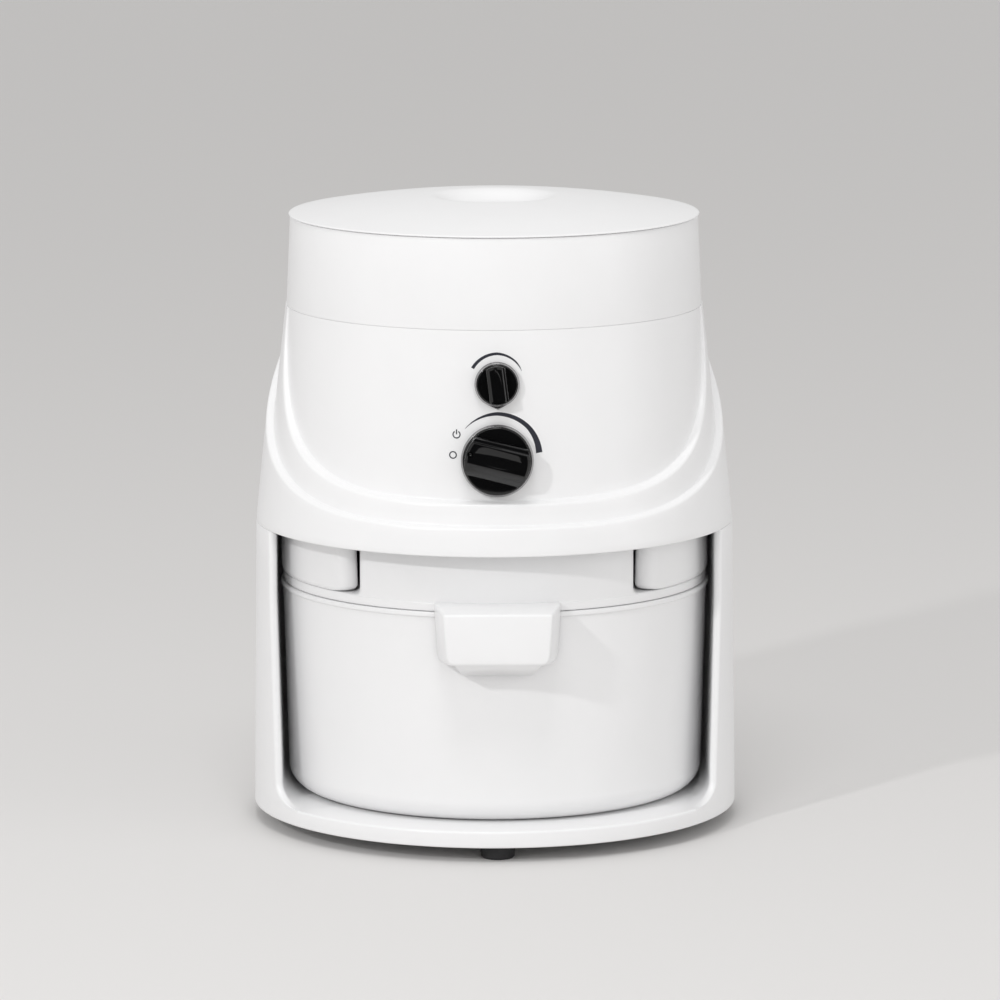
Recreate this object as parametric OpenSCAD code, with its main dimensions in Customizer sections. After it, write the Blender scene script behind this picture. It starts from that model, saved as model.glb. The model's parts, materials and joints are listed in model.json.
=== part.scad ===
// Electric grain mill: a round stand with a slide-out flour bowl, an impact milling
// chamber with its motor in the upper housing, and a lidded grain hopper on top.
// Millimetres. +Z up, origin on the floor on the centre axis, front towards -Y.

/* [Overall] */
// Radius of the base rim
base_r = 132; // [128:0.5:140]
// Height of the rubber feet
foot_h = 8; // [6:0.5:12]
// Height of the base above its underside, up to the bay floor
base_h = 9; // [8:0.5:14]
// Height of the bowl bay, from its floor to the housing
bay_h = 147.3; // [145:0.1:160]
// Height of the upper housing
housing_h = 118.2; // [116:0.1:126]
// Height of the hopper ring
ring_h = 48.5; // [44:0.5:60]

/* [Shell forms] */
// How much the stand narrows from its base to its top
stand_draft = 1.9; // [0.5:0.1:3]
// Thickness of the columns beside the bowl bay
column_t = 13.8; // [13:0.1:15]
// How much the bay narrows towards its floor, each side
bay_draft = 2.9; // [1.5:0.1:4]
// Radius of the cove between the bay floor and its walls
bay_cove_r = 11; // [8:1:14]
// Wall of the moulded shells
shell_t = 3; // [2.5:0.1:3.5]
// Depth of the outer swept step at the foot of the housing
outer_step = 3.8; // [3:0.1:5]
// Depth of the inner swept step at the foot of the housing
inner_step = 7.5; // [6:0.1:8]
// Inward lean of the outer terrace, in mm per mm of height
outer_lean = 0.102; // [0.09:0.001:0.11]
// Inward lean of the middle terrace, in mm per mm of height
mid_lean = 0.11; // [0.1:0.001:0.12]
// Height of the outer step above the skirt edge at the front
outer_step_z = 15.2; // [12:0.1:20]
// Height of the inner step above the skirt edge at the front
inner_step_z = 27.3; // [24:0.1:32]
// Rise of the outer step from the front to the side
outer_rise = 46; // [40:1:52]
// Height over which the inner step sweeps up
inner_rise = 90; // [84:1:92]
// How far back the inner step sweeps before it stands upright
inner_sweep = 105; // [98:1:112]
// Lean of the control panel, in degrees
panel_lean = 2.9; // [2:0.1:3.5]

/* [Flour bowl] */
// Gap between the bowl bead and the bay wall
bowl_gap = 1.4; // [1:0.1:2]
// Height of the flour bowl
bowl_h = 114.5; // [105:0.1:116]
// Wall of the bowl and of its cover
bowl_t = 2.5; // [2:0.1:3]
// How far the rim bead stands out from the bowl wall
bead_out = 1.1; // [0.8:0.1:1.6]
// Height of the rim bead
bead_h = 2.9; // [2.4:0.1:5]
// How much the bowl narrows to its bottom
bowl_draft = 3; // [1:0.1:4]
// Radius of the bowl's bottom edge
bowl_edge_r = 12.5; // [8:0.5:14]
// Height of the cover's flange
flange_h = 5; // [3.5:0.1:5.5]
// Height of the cover's raised box above its flange
box_h = 25.5; // [20:0.1:25.8]
// Half width of the cover's raised box
box_half = 72.9; // [66:0.1:76]
// Gap between the raised box and each rail
rail_gap = 1.3; // [0.8:0.1:2]
// Half width of the handle's front at its top
handle_half = 30; // [26:0.5:36]
// How much wider the handle is at its root, each side
handle_flare = 3.6; // [1:0.2:6]
// How far the handle stands out in front of the bowl rim
handle_out = 22.7; // [18:0.1:26]
// Drop of the handle's lower front edge below the top of the cover's flange
handle_drop = 28.9; // [24:0.1:34]
// Fall of the handle's top from the flange to its front edge
handle_fall = 1.6; // [0.5:0.1:3]
// How far the handle's underside slopes down towards the bowl
handle_slope = 9.5; // [5:0.5:12]
// Radius of the handle's lower corners
handle_corner_r = 8.5; // [5:0.5:10]
// Wall of the hollow handle
handle_t = 3; // [2.5:0.1:4]
// Travel of the bowl when it is pulled out
bowl_travel = 250; // [200:5:280]

/* [Hopper and lid] */
// How much the hopper ring narrows to its mouth
ring_draft = 2.2; // [1:0.1:3]
// Rise of the domed lid
lid_rise = 10; // [7:0.5:14]
// Overhang of the lid past the hopper ring
lid_over = 0.7; // [0.3:0.1:1.2]
// Wall of the lid
lid_t = 2.5; // [2:0.1:3]
// Radius of the finger well in the lid
well_r = 31; // [24:0.5:36]
// Depth of the finger well
well_depth = 8; // [5:0.5:9]
// Wall of the hopper tub
tub_t = 2.5; // [2:0.1:3]
// Depth of the tub's flange below the ring's mouth
tub_seat = 8.5; // [7:0.5:11]
// Inner radius of the hopper's throat
throat_r = 9; // [7:0.5:9.5]

/* [Controls] */
// Radius of the feed knob
feed_knob_r = 19; // [16:0.5:21]
// Height of the feed knob above the skirt edge
feed_knob_z = 49.7; // [46:0.1:52]
// Angle of the feed knob's grip, in degrees
feed_grip_a = 166; // [150:1:180]
// Radius of the speed knob
speed_knob_r = 11.2; // [9:0.1:13]
// Height of the speed knob above the skirt edge
speed_knob_z = 90; // [87:0.1:93]
// Angle of the speed knob's grip, in degrees
speed_grip_a = 97; // [80:1:110]
// Radius of the feed shaft
feed_shaft_r = 3; // [2.5:0.1:3.5]
// Radius of the speed control's shaft
pot_shaft_r = 3; // [2.5:0.1:3.2]

/* [Mill] */
// Distance of the motor axis behind the hopper's throat
motor_back = 92; // [90:0.5:96]
// Radius of the motor's lamination stack
stack_r = 35; // [32:0.5:36]
// Height of the motor's lamination stack
stack_h = 22; // [18:0.5:24]
// Radius of the motor shaft
motor_shaft_r = 4; // [3.5:0.1:4.5]
// Outer radius of the milling chamber
chamber_r = 53; // [50:0.5:56]
// Wall of the milling chamber
chamber_t = 3; // [2.5:0.1:4]
// Number of teeth in the inner ring of the rotating head
head_teeth = 24; // [16:1:30]
// Height of the milling teeth
tooth_h = 6; // [5:0.1:6.5]
// Radius of the flour outlet
outlet_r = 13; // [10:0.5:14]

/* [Fits and gaps] */
// Radial clearance of a turning shaft
run_fit = 0.05; // [0.02:0.01:0.1]
// Clearance of a screw in its hole
screw_fit = 0.1; // [0.05:0.05:0.2]
// Gap between pieces that pass or cover each other
pass_gap = 0.3; // [0.2:0.05:0.5]

/* [Hidden] */
$fn = 96;
eps = 0.01;
far = 400;

// Heights
base_z = foot_h;
floor_z = base_z + base_h;
skirt_z = floor_z + bay_h;
seam_z = skirt_z + housing_h;
mouth_z = seam_z + ring_h;

// Radii of the shells
stand_top_r = base_r - stand_draft;
bay_top_r = base_r - column_t;
bay_low_r = bay_top_r - bay_draft;
column_y = sqrt(stand_top_r * stand_top_r - pow(bay_top_r + 1.8, 2));
mid_foot_r = stand_top_r - outer_step;
panel_foot_r = mid_foot_r - inner_step;
ring_foot_r = panel_foot_r - housing_h * tan(panel_lean);
mouth_r = ring_foot_r - ring_draft;
function outer_r(z) = stand_top_r - outer_lean * (z - skirt_z);
function mid_r(z) = mid_foot_r - mid_lean * (z - skirt_z);
function panel_r(z) = panel_foot_r - tan(panel_lean) * (z - skirt_z);

// Side view of the two swept steps: height for a distance y from the axis
function outer_step_at(y) =
    skirt_z + outer_step_z + outer_rise * pow((y + stand_top_r - 2) / (stand_top_r - 2), 2);
function inner_step_at(y) =
    skirt_z + inner_step_z
    + inner_rise * (1 - sqrt(max(0, 1 - pow((y + mid_foot_r - 3.3) / inner_sweep, 2))));

// Bowl
bowl_z = floor_z + pass_gap;
bowl_rim_z = bowl_z + bowl_h;
bead_r = bay_top_r - bowl_gap;
bowl_wall_r = bead_r - bead_out;
bowl_low_r = bowl_wall_r - bowl_draft;
flange_z = bowl_rim_z + 0.2;
flange_top_z = flange_z + flange_h;
flange_r = bead_r - 1.3;
cover_top_z = flange_top_z + box_h;
rail_z = flange_top_z + pass_gap;
rail_r = bead_r - 0.3;
rail_in = box_half + rail_gap;
gasket_t = skirt_z - cover_top_z - pass_gap;

// Axes of the two knobs, throat of the hopper above the feed gate, motor behind it
feed_z = skirt_z + feed_knob_z;
speed_z = skirt_z + speed_knob_z;
throat_y = 34.3 - panel_r(feed_z);
motor_y = throat_y + motor_back;

// Mill stack
plate_t = shell_t;
deck_z = skirt_z + plate_t;
cavity_z = deck_z + chamber_t;
rotor_z = cavity_z + 1.6;
rotor_t = 2.6;
stator_gap = 1.2;
stator_plate_z = rotor_z + rotor_t + tooth_h + stator_gap;
stator_plate_t = 2.4;
chamber_top_z = stator_plate_z + stator_plate_t;
lid_plate_t = 3.4;
chamber_cover_z = chamber_top_z;
motor_base_z = chamber_cover_z + lid_plate_t;
inlet_off = 17;
inlet_r = 7.5;
outlet_y = motor_y - chamber_r + chamber_t + outlet_r + 1;
flange_bolts = [30:60:330];
flange_bolt_at = chamber_r + 2.6;

// Frame on the panel at a height: local Z runs straight out of the panel
module on_panel(z, out = 0) {
    translate([0, -panel_r(z), z]) rotate([90 - panel_lean, 0, 0]) translate([0, 0, out])
        children();
}

// Pipe with a bore
module tube(r, bore, h) {
    difference() {
        cylinder(r = r, h = h);
        translate([0, 0, -1]) cylinder(r = bore, h = h + 2);
    }
}

// Revolved solid under a radius that falls off with height
module turned(z0, z1, r0, r1) {
    translate([0, 0, z0]) cylinder(r1 = r0, r2 = r1, h = z1 - z0);
}

// Outline in the YZ plane, pushed through the part along X
module side_cut(points, half = far) {
    rotate([90, 0, 90]) linear_extrude(2 * half, center = true) polygon(points);
}

// Outline in the XZ plane, pushed through the part along Y between two places
module front_cut(y0, y1) {
    translate([0, y1, 0]) rotate([90, 0, 0]) linear_extrude(y1 - y0) children();
}

// ---------------------------------------------------------------- stand

// Radius of the bay wall at a height, with its cove into the floor
function bay_r(z) = z >= bowl_rim_z - bead_h ? bay_top_r
    : bay_top_r - bay_draft * (bowl_rim_z - bead_h - z) / (bowl_rim_z - bead_h - floor_z);
cove_a = [for (a = [0:15:90]) a];
function bay_outline(top) = concat(
    [[0, floor_z]],
    [for (a = cove_a) [bay_r(floor_z) - bay_cove_r + bay_cove_r * sin(a),
        floor_z + bay_cove_r - bay_cove_r * cos(a)]],
    [[bay_top_r, bowl_rim_z - bead_h], [bay_top_r, top], [0, top]]);
function mirrored(points) = [for (p = points) [-p[0], p[1]]];

module bay_space(top) {
    rotate_extrude() polygon(bay_outline(top));
    front_cut(-2 * base_r, 0) {
        polygon(bay_outline(top));
        polygon(mirrored(bay_outline(top)));
    }
}

module stand_shell() color("white") {
    core_t = 2.8;
    core_top = skirt_z - 16;
    difference() {
        rotate_extrude() polygon([
            [0, base_z], [base_r - 1, base_z], [base_r, base_z + 1],
            [base_r, floor_z - 2], [base_r - 0.6, floor_z - 0.6], [base_r - 0.8, floor_z],
            [stand_top_r, skirt_z], [0, skirt_z]]);
        bay_space(skirt_z + 1);
        // blunt front edges of the columns
        difference() {
            translate([-far, -far, floor_z + bay_cove_r]) cube([2 * far, far - column_y, far]);
            translate([-far, -far, 0]) cube([2 * far, 2 * far, floor_z + bay_cove_r]);
        }
        // hollow behind the bay wall, open below
        difference() {
            turned(base_z - 1, core_top, base_r - core_t - 0.2, stand_top_r - core_t);
            grown_bay(core_t, core_top + 1);
            translate([-far, -far - 22, 0]) cube([2 * far, far, far]);
        }
        // hollow under the bay floor
        translate([0, 0, base_z - 1]) cylinder(r = base_r - core_t - 0.2, h = base_h + 1 - core_t);
        // holes for the screws that hold the housing
        screw_ring(stand_top_r - 7.5, stand_screw_a) translate([0, 0, skirt_z - 14])
            cylinder(r = stand_screw_r + screw_fit, h = 20);
    }
    // bosses for the base screws
    screw_ring(base_screw_at, base_screw_a) translate([0, 0, base_z + plate_t])
        tube(4, base_screw_r + screw_fit, base_h - core_t - plate_t + eps);
}

// The bay grown by a wall, for the hollow behind it
module grown_bay(grow, top) {
    r = bay_top_r + grow;
    turned(base_z - 2, top, r, r);
    translate([-r, -2 * base_r, base_z - 2]) cube([2 * r, 2 * base_r, top - base_z + 2]);
}

stand_screw_a = [0, 45, 90, 135, 180];
stand_screw_r = 2;
base_screw_a = [45:90:315];
base_screw_at = base_r - 30;
base_screw_r = 1.5;
module screw_ring(r, angles) {
    for (a = angles) rotate([0, 0, a]) translate([r, 0, 0]) children();
}

module base_plate() color("gainsboro") difference() {
    translate([0, 0, base_z]) cylinder(r = base_r - 2.8 - 0.2 - pass_gap, h = plate_t - pass_gap);
    screw_ring(foot_at, foot_a) translate([0, 0, base_z - 1]) cylinder(r = foot_stem_r, h = 5);
    screw_ring(base_screw_at, base_screw_a) translate([0, 0, base_z - 1])
        cylinder(r = base_screw_r + screw_fit, h = 5);
}

module base_screws() color("silver") screw_ring(base_screw_at, base_screw_a) {
    translate([0, 0, base_z - 1.6]) cylinder(r = 3, h = 1.6);
    translate([0, 0, base_z - eps]) cylinder(r = base_screw_r, h = base_h - 3);
}

foot_a = [0:90:270];
foot_at = base_r - 16;
foot_r = 9.5;
foot_stem_r = 4;
module rubber_feet() color([0.2, 0.2, 0.2]) screw_ring(foot_at, foot_a) {
    difference() {
        rotate_extrude() polygon([[0, 0], [foot_r - 1.5, 0], [foot_r - 0.5, 1],
            [foot_r, foot_h], [0, foot_h]]);
        translate([0, 0, -1]) cylinder(r = 3, h = 3);
    }
    translate([0, 0, foot_h - eps]) cylinder(r = foot_stem_r - 0.02, h = plate_t - pass_gap);
}

module stand_screws() color("silver") screw_ring(stand_top_r - 7.5, stand_screw_a) {
    translate([0, 0, deck_z]) cylinder(r = 3.6, h = 2.4);
    translate([0, 0, skirt_z - 13]) cylinder(r = stand_screw_r, h = 13 + plate_t + eps);
}

// ---------------------------------------------------------------- housing

// Terraced form of the upper housing, drawn in by a wall thickness
step_y = [for (i = [0:20]) -stand_top_r - 6 + i * 10];
sweep_end = inner_sweep - mid_foot_r + 3.3;
module terrace(z0, z1, r0, r1, points) {
    intersection() {
        turned(z0, z1, r0, r1);
        side_cut(points);
    }
}
module housing_form(inset) {
    z0 = skirt_z - (inset > 0 ? 1 : 0);
    z1 = seam_z + (inset > 0 ? 1 : 0);
    turned(z0, z1, panel_r(z0) - inset, panel_r(z1) - inset);
    mid_top = z1 - (inset > 0 ? 1 + inset : 0);
    terrace(z0, mid_top, mid_r(z0) - inset, mid_r(mid_top) - inset, concat(
        [[far, z0 - 1], [-far, z0 - 1], [-far, inner_step_at(-mid_foot_r + 3.3) - inset]],
        [for (i = [0:15]) let (y = -mid_foot_r + 3.3 + inner_sweep * sin(i * 6))
            [y + inset * i / 15, inner_step_at(y) - inset]],
        [[sweep_end + inset, seam_z + 9], [far, seam_z + 9]]));
    terrace(z0, mid_top, outer_r(z0) - inset, outer_r(mid_top) - inset, concat(
        [[far, z0 - 1], [-far, z0 - 1]],
        [for (y = step_y) [y + inset * 0.5, outer_step_at(y) - inset]],
        [[far, outer_step_at(80) - inset]]));
}

vent_z = skirt_z + 44;
vent_h = 44;
vent_half = 42;
module upper_housing() color("white") difference() {
    union() {
        difference() {
            housing_form(0);
            housing_form(shell_t);
        }
        // lip that centres the hopper ring
        translate([0, 0, seam_z - 6]) tube(ring_foot_r - shell_t - pass_gap,
            ring_foot_r - shell_t - 2.4, 10);
        translate([0, 0, seam_z - 6]) tube(ring_foot_r - 1, ring_foot_r - shell_t - 2.4, 3);
    }
    on_panel(feed_z, -40) cylinder(r = feed_shaft_r + 1, h = 60);
    on_panel(speed_z, -40) cylinder(r = bush_r + screw_fit, h = 60);
    translate([-vent_half, 60, vent_z]) cube([2 * vent_half, 100, vent_h]);
    translate([0, 100, gland_z]) rotate([-90, 0, 0]) cylinder(r = gland_r + pass_gap, h = 60);
}

// Louvred insert in the rear window
module rear_vent_grille() color("gainsboro") intersection() {
    window = 0.2;
    translate([-vent_half + window, 60, vent_z + window])
        cube([2 * (vent_half - window), 100, vent_h - 2 * window]);
    difference() {
        turned(skirt_z, seam_z, outer_r(skirt_z) - 0.4, outer_r(seam_z) - 0.4);
        turned(skirt_z - 1, seam_z + 1, outer_r(skirt_z - 1) - shell_t, outer_r(seam_z + 1) - shell_t);
        for (i = [0:6]) translate([-vent_half + 5, 60, vent_z + 4 + i * 5.4])
            cube([2 * vent_half - 10, 100, 2.8]);
    }
}

gland_z = skirt_z + 22;
gland_r = 6;
module cord_gland() color([0.15, 0.15, 0.16]) {
    wall_y = outer_r(gland_z);
    difference() {
        translate([0, wall_y - 8, gland_z]) rotate([-90, 0, 0]) union() {
            cylinder(r = gland_r, h = 10);
            cylinder(r = gland_r + 2.6, h = 3.4);
            translate([0, 0, 9.6]) cylinder(r1 = gland_r + 2.4, r2 = gland_r + 0.6, h = 8.6);
        }
        translate([0, wall_y - 9, gland_z]) rotate([-90, 0, 0]) cylinder(r = 3.6, h = 30);
    }
}

module housing_floor() color("gainsboro") difference() {
    translate([0, 0, skirt_z]) cylinder(r = outer_r(deck_z) - shell_t - pass_gap, h = plate_t);
    translate([0, outlet_y, skirt_z - 1]) cylinder(r = outlet_r + 2 + screw_fit, h = 10);
    screw_ring(stand_top_r - 7.5, stand_screw_a) translate([0, 0, skirt_z - 1])
        cylinder(r = stand_screw_r + screw_fit, h = 10);
    // air slots over the bowl's filter
    for (i = [-3:3]) translate([i * 7 - 1.5, filter_y + 14, skirt_z - 1]) cube([3, 14, 10]);
}

// One rail, a hollow block with a rounded inner front corner
module rail_block(inset) {
    intersection() {
        cylinder(r = rail_r - inset, h = far);
        union() {
            translate([rail_in + inset, -rail_front + rail_corner, 0]) cube([far, rail_front, far]);
            translate([rail_in + inset + rail_corner, -far, 0]) cube([far, far + 50, far]);
            translate([rail_in + rail_corner, -rail_front + rail_corner, 0])
                cylinder(r = rail_corner - inset, h = far);
        }
        translate([-far, -far, 0]) cube([2 * far, far + rail_back - inset, far]);
    }
}
rail_corner = 6.5;
rail_front = sqrt(rail_r * rail_r - pow(rail_in + rail_corner, 2)) + 1;
rail_back = 60;
module bowl_rails() color("white") for (side = [0, 1]) mirror([side, 0, 0]) {
    difference() {
        intersection() {
            rail_block(0);
            translate([-far, -far, rail_z]) cube([2 * far, 2 * far, skirt_z - rail_z]);
        }
        intersection() {
            rail_block(bowl_t);
            translate([-far, -far, rail_z + bowl_t]) cube([2 * far, 2 * far, far]);
        }
    }
}

// ---------------------------------------------------------------- hopper

tub_rim_z = mouth_z - tub_seat;
ring_in_r = mouth_r - shell_t;
module hopper_ring() color("white") difference() {
    union() {
        turned(seam_z, mouth_z, ring_foot_r, mouth_r);
    }
    turned(seam_z - 1, tub_rim_z - 4, ring_foot_r - shell_t + 0.05, ring_in_r);
    translate([0, 0, tub_rim_z - 5]) cylinder(r = ring_in_r - 1.8, h = 8);
    translate([0, 0, tub_rim_z - 2]) cylinder(r = ring_in_r, h = tub_seat + 3);
}

// Inside of the tub: a throat, a tilted funnel and a wide shallow cone above it
throat_half = 11;
throat_z = feed_z + 28;
tub_mouth_r = ring_in_r - 4.6;
funnel_back = 65.5;
funnel_front = -5;
tilt = (funnel_back + funnel_front) / 2;
half_a = (funnel_back - funnel_front) / 2;
module tub_space(grow) {
    drop = grow / sin(half_a);
    apex_drop = 2 * throat_half / (tan(funnel_back) - tan(funnel_front));
    apex_y = throat_y - throat_half - apex_drop * tan(funnel_front);
    intersection() {
        translate([0, 0, throat_z - grow]) cylinder(r = tub_mouth_r + grow, h = far);
        union() {
            translate([0, apex_y, throat_z - apex_drop]) rotate([-tilt, 0, 0]) translate([0, 0, -drop])
                cylinder(r1 = 0.01, r2 = 260 * tan(half_a), h = 260);
            translate([0, 0, tub_rim_z - 26 - grow * 1.2])
                cylinder(r1 = tub_mouth_r - 40, r2 = tub_mouth_r + 14, h = 36);
            translate([0, 0, tub_rim_z]) cylinder(r = tub_mouth_r + grow, h = far);
        }
    }
}
module hopper_tub() color("whitesmoke") difference() {
    union() {
        intersection() {
            tub_space(tub_t);
            cylinder(r = far, h = tub_rim_z);
        }
        translate([0, 0, tub_rim_z - 2]) cylinder(r = ring_in_r - pass_gap, h = 2.2);
        translate([0, throat_y, throat_z - 12]) cylinder(r = throat_r + tub_t, h = 18);
    }
    intersection() {
        tub_space(0);
        cylinder(r = far, h = tub_rim_z + 10);
    }
    translate([0, throat_y, throat_z - 15]) cylinder(r = throat_r, h = 30);
}

// Domed lid with a dished finger well and a collar that sits in the tub
lid_z = mouth_z + 0.3;
lid_r = mouth_r + lid_over;
lid_edge = 2;
function dome_z(r) = lid_z + lid_edge + lid_rise * (1 - pow(r / lid_r, 2));
dome_r = [for (i = [0:12]) well_r + 9 + (lid_r - 1 - well_r - 9) * i / 12];
// Finger well: a dish with a rounded lip that runs out into the dome
well_z = dome_z(0) - well_depth;
function well_at(t) = well_z + (dome_z(well_r + 9) - well_z) * (1 - cos(t * 180)) / 2;
well_t = [for (i = [0:8]) i / 8];
well_flat = well_r - 14;
module hopper_lid() color("white") {
    rotate_extrude() polygon(concat(
        [[0, well_z]],
        [for (t = well_t) [well_flat + (well_r + 9 - well_flat) * t, well_at(t)]],
        [for (r = dome_r) [r, dome_z(r)]],
        [[lid_r, lid_z + lid_edge - 0.6], [lid_r, lid_z + 0.4], [lid_r - 0.5, lid_z],
            [tub_mouth_r - pass_gap, lid_z], [tub_mouth_r - pass_gap, tub_rim_z + 0.5],
            [tub_mouth_r - pass_gap - lid_t, tub_rim_z + 0.5],
            [tub_mouth_r - pass_gap - lid_t, lid_z]],
        [for (i = [12:-1:0]) if (dome_r[i] < tub_mouth_r - 6) [dome_r[i], dome_z(dome_r[i]) - lid_t]],
        [for (i = [7:-1:0]) [well_flat + (well_r + 9 - well_flat) * well_t[i],
            well_at(well_t[i]) - lid_t]],
        [[0, well_z - lid_t]]));
}

// ---------------------------------------------------------------- bowl

function bowl_r(z) = bowl_low_r + bowl_draft * (z - bowl_z) / (bowl_rim_z - bead_h - bowl_z);
module flour_bowl() color("white") rotate_extrude() {
    low = bowl_r(bowl_z + bowl_edge_r);
    inner_r = bowl_edge_r - bowl_t;
    bead_z = bowl_rim_z - bead_h;
    polygon(concat(
        [[0, bowl_z]],
        [for (a = [0:15:90]) [low - bowl_edge_r + bowl_edge_r * sin(a),
            bowl_z + bowl_edge_r - bowl_edge_r * cos(a)]],
        [[bowl_wall_r, bead_z], [bead_r - 0.4, bead_z + 0.3], [bead_r, bead_z + 0.9],
            [bead_r, bowl_rim_z - 0.9], [bead_r - 0.5, bowl_rim_z],
            [bowl_wall_r - bowl_t, bowl_rim_z], [bowl_wall_r - bowl_t, bead_z]],
        [for (a = [90:-15:0]) [low - bowl_edge_r + inner_r * sin(a),
            bowl_z + bowl_edge_r - inner_r * cos(a)]],
        [[0, bowl_z + bowl_t]]));
}

// Cover: flange with a plug in the bowl mouth, raised box between the rails, pull handle
plug_r = bowl_wall_r - bowl_t - 0.8;
plug_z = bowl_rim_z - 6.2;
box_r = flange_r - 0.4;
filter_y = 52;
filter_w = 70;
filter_d = 44;
module box_form(grow, z0, z1) {
    intersection() {
        translate([0, 0, z0]) cylinder(r = box_r + grow, h = z1 - z0);
        translate([-box_half - grow, -far, z0]) cube([2 * (box_half + grow), 2 * far, z1 - z0]);
    }
}
handle_back = bead_r + 0.5;
handle_front = bead_r + handle_out;
handle_top = flange_top_z - handle_fall;
handle_low = flange_top_z - handle_drop;
handle_lean = 1.6;
handle_edge = 1.6;
handle_tuck = 6;
module handle_form(inset) {
    w = handle_half - inset;
    c = handle_corner_r;
    low = handle_low + inset;
    under = low - handle_slope;
    arc_x = w + handle_flare - handle_lean - c;
    side = concat([[w + handle_flare, flange_top_z + 1]],
        [for (a = [0:22.5:90]) [arc_x + c * cos(a), low + c - c * sin(a)]],
        [[arc_x - handle_tuck, under]]);
    difference() {
        intersection() {
            front_cut(-handle_front - 5, -box_r + 20) polygon(concat(side,
                [for (i = [len(side) - 1:-1:0]) [-side[i][0], side[i][1]]]));
            side_cut([[-handle_front + inset, low],
                [-handle_front + inset, handle_top - handle_edge - inset],
                [-handle_front + handle_edge * 0.3 + inset, handle_top - handle_edge * 0.3 - inset],
                [-handle_front + handle_edge + inset, handle_top - inset],
                [-box_r, flange_top_z - inset], [-box_r + 20, flange_top_z - inset],
                [-box_r + 20, under], [-handle_back - 0.5, under]]);
            // plan: the front is narrower than the root
            linear_extrude(far) polygon([[-w, -handle_front - 1], [-w, -handle_back - handle_flare],
                [-w - handle_flare * 0.3, -handle_back - handle_flare * 0.3],
                [-w - handle_flare, -handle_back], [-w - handle_flare, 0],
                [w + handle_flare, 0], [w + handle_flare, -handle_back],
                [w + handle_flare * 0.3, -handle_back - handle_flare * 0.3],
                [w, -handle_back - handle_flare], [w, -handle_front - 1]]);
        }
        // the bowl passes behind the handle
        translate([0, 0, -1]) cylinder(r = handle_back - inset, h = flange_z + 1 + inset);
        translate([0, 0, flange_z - 1]) cylinder(r = box_r - bowl_t + inset, h = 60);
    }
}
module bowl_cover() color("white") difference() {
    union() {
        // flange and plug
        translate([0, 0, flange_z]) cylinder(r = flange_r, h = flange_h);
        difference() {
            translate([0, 0, plug_z]) cylinder(r = plug_r, h = flange_z - plug_z + eps);
            translate([0, 0, gasket_z - pass_gap]) tube(plug_r + 1, plug_r - 1.8, gasket_h + 2 * pass_gap);
        }
        box_form(0, flange_z, cover_top_z);
        handle_form(0);
    }
    // hollow underneath
    translate([0, 0, plug_z - 1]) cylinder(r = plug_r - 1.8 - bowl_t, h = flange_top_z - bowl_t - plug_z + 1);
    box_form(-bowl_t, plug_z - 1, cover_top_z - bowl_t);
    difference() {
        handle_form(handle_t);
        translate([0, 0, flange_z - 6]) cylinder(r = box_r, h = 60);
    }
    translate([0, outlet_y, cover_top_z - 10]) cylinder(r = outlet_r + 0.5, h = 20);
    // grid over the air filter
    for (i = [-4:4]) translate([i * 7 - 2.2, filter_y - filter_d / 2 + 4, cover_top_z - 10])
        cube([4.4, filter_d - 8, 20]);
}

gasket_h = 3;
gasket_z = plug_z + 1.4;
module bowl_gasket() color([0.75, 0.76, 0.76]) translate([0, 0, gasket_z])
    tube(bowl_wall_r - bowl_t - 0.05, plug_r - 1.75, gasket_h);

module inlet_gasket() color([0.75, 0.76, 0.76]) translate([0, outlet_y, cover_top_z])
    tube(outlet_r + 5, outlet_r + 0.5, gasket_t);

// Cup under the cover that slows the flour and drops it into the bowl
cup_r = 30;
cup_h = 44;
module separator_cup() color([0.85, 0.86, 0.86]) translate([0, outlet_y, cover_top_z - bowl_t]) {
    difference() {
        translate([0, 0, -cup_h]) cylinder(r = cup_r, h = cup_h);
        translate([0, 0, -cup_h + bowl_t]) cylinder(r = cup_r - bowl_t, h = cup_h);
        for (a = [0:60:300]) rotate([0, 0, a]) translate([0, -4, -cup_h + 6]) cube([cup_r + 5, 8, 16]);
    }
}

module air_filter() color([0.3, 0.3, 0.32])
    translate([-filter_w / 2, filter_y - filter_d / 2, cover_top_z - bowl_t - 12.3])
    cube([filter_w, filter_d, 12]);

module filter_tray() color([0.85, 0.86, 0.86]) {
    z = cover_top_z - bowl_t - 15;
    difference() {
        translate([-filter_w / 2 - 3, filter_y - filter_d / 2 - 3, z])
            cube([filter_w + 6, filter_d + 6, 15]);
        translate([-filter_w / 2 - 0.4, filter_y - filter_d / 2 - 0.4, z + 2.4])
            cube([filter_w + 0.8, filter_d + 0.8, 15]);
        for (i = [-4:4]) translate([i * 7 - 2.2, filter_y - filter_d / 2 + 4, z - 1])
            cube([4.4, filter_d - 8, 10]);
    }
}

// ---------------------------------------------------------------- controls

// Knob with a bar grip: r base radius, h height, grip width and angle
module knob(r, h, grip, angle, bore) {
    face = 4.5;
    difference() {
        union() {
            rotate_extrude() polygon([[0, 0], [r - 1.2, 0], [r - 1.4, 1.6],
                [r - 1.9, face], [0, face]]);
            rotate([0, 0, angle]) intersection() {
                rotate([90, 0, 0]) linear_extrude(4 * r, center = true) polygon([
                    [-grip * 0.8, face - 1], [-grip * 0.66, face + 2.4],
                    [-grip * 0.53, h - 1.2], [-grip * 0.46, h], [grip * 0.46, h],
                    [grip * 0.53, h - 1.2], [grip * 0.66, face + 2.4], [grip * 0.8, face - 1]]);
                rotate_extrude() polygon([[0, 0], [r - 1.6, 0], [r - 2.1, face],
                    [r - 2.9, h * 0.8], [r - 4.6, h], [0, h]]);
            }
        }
        translate([0, 0, -1]) cylinder(r = bore, h = h - 3);
    }
}
feed_knob_out = 2.1;
feed_knob_h = 15;
speed_knob_out = 1;
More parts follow.
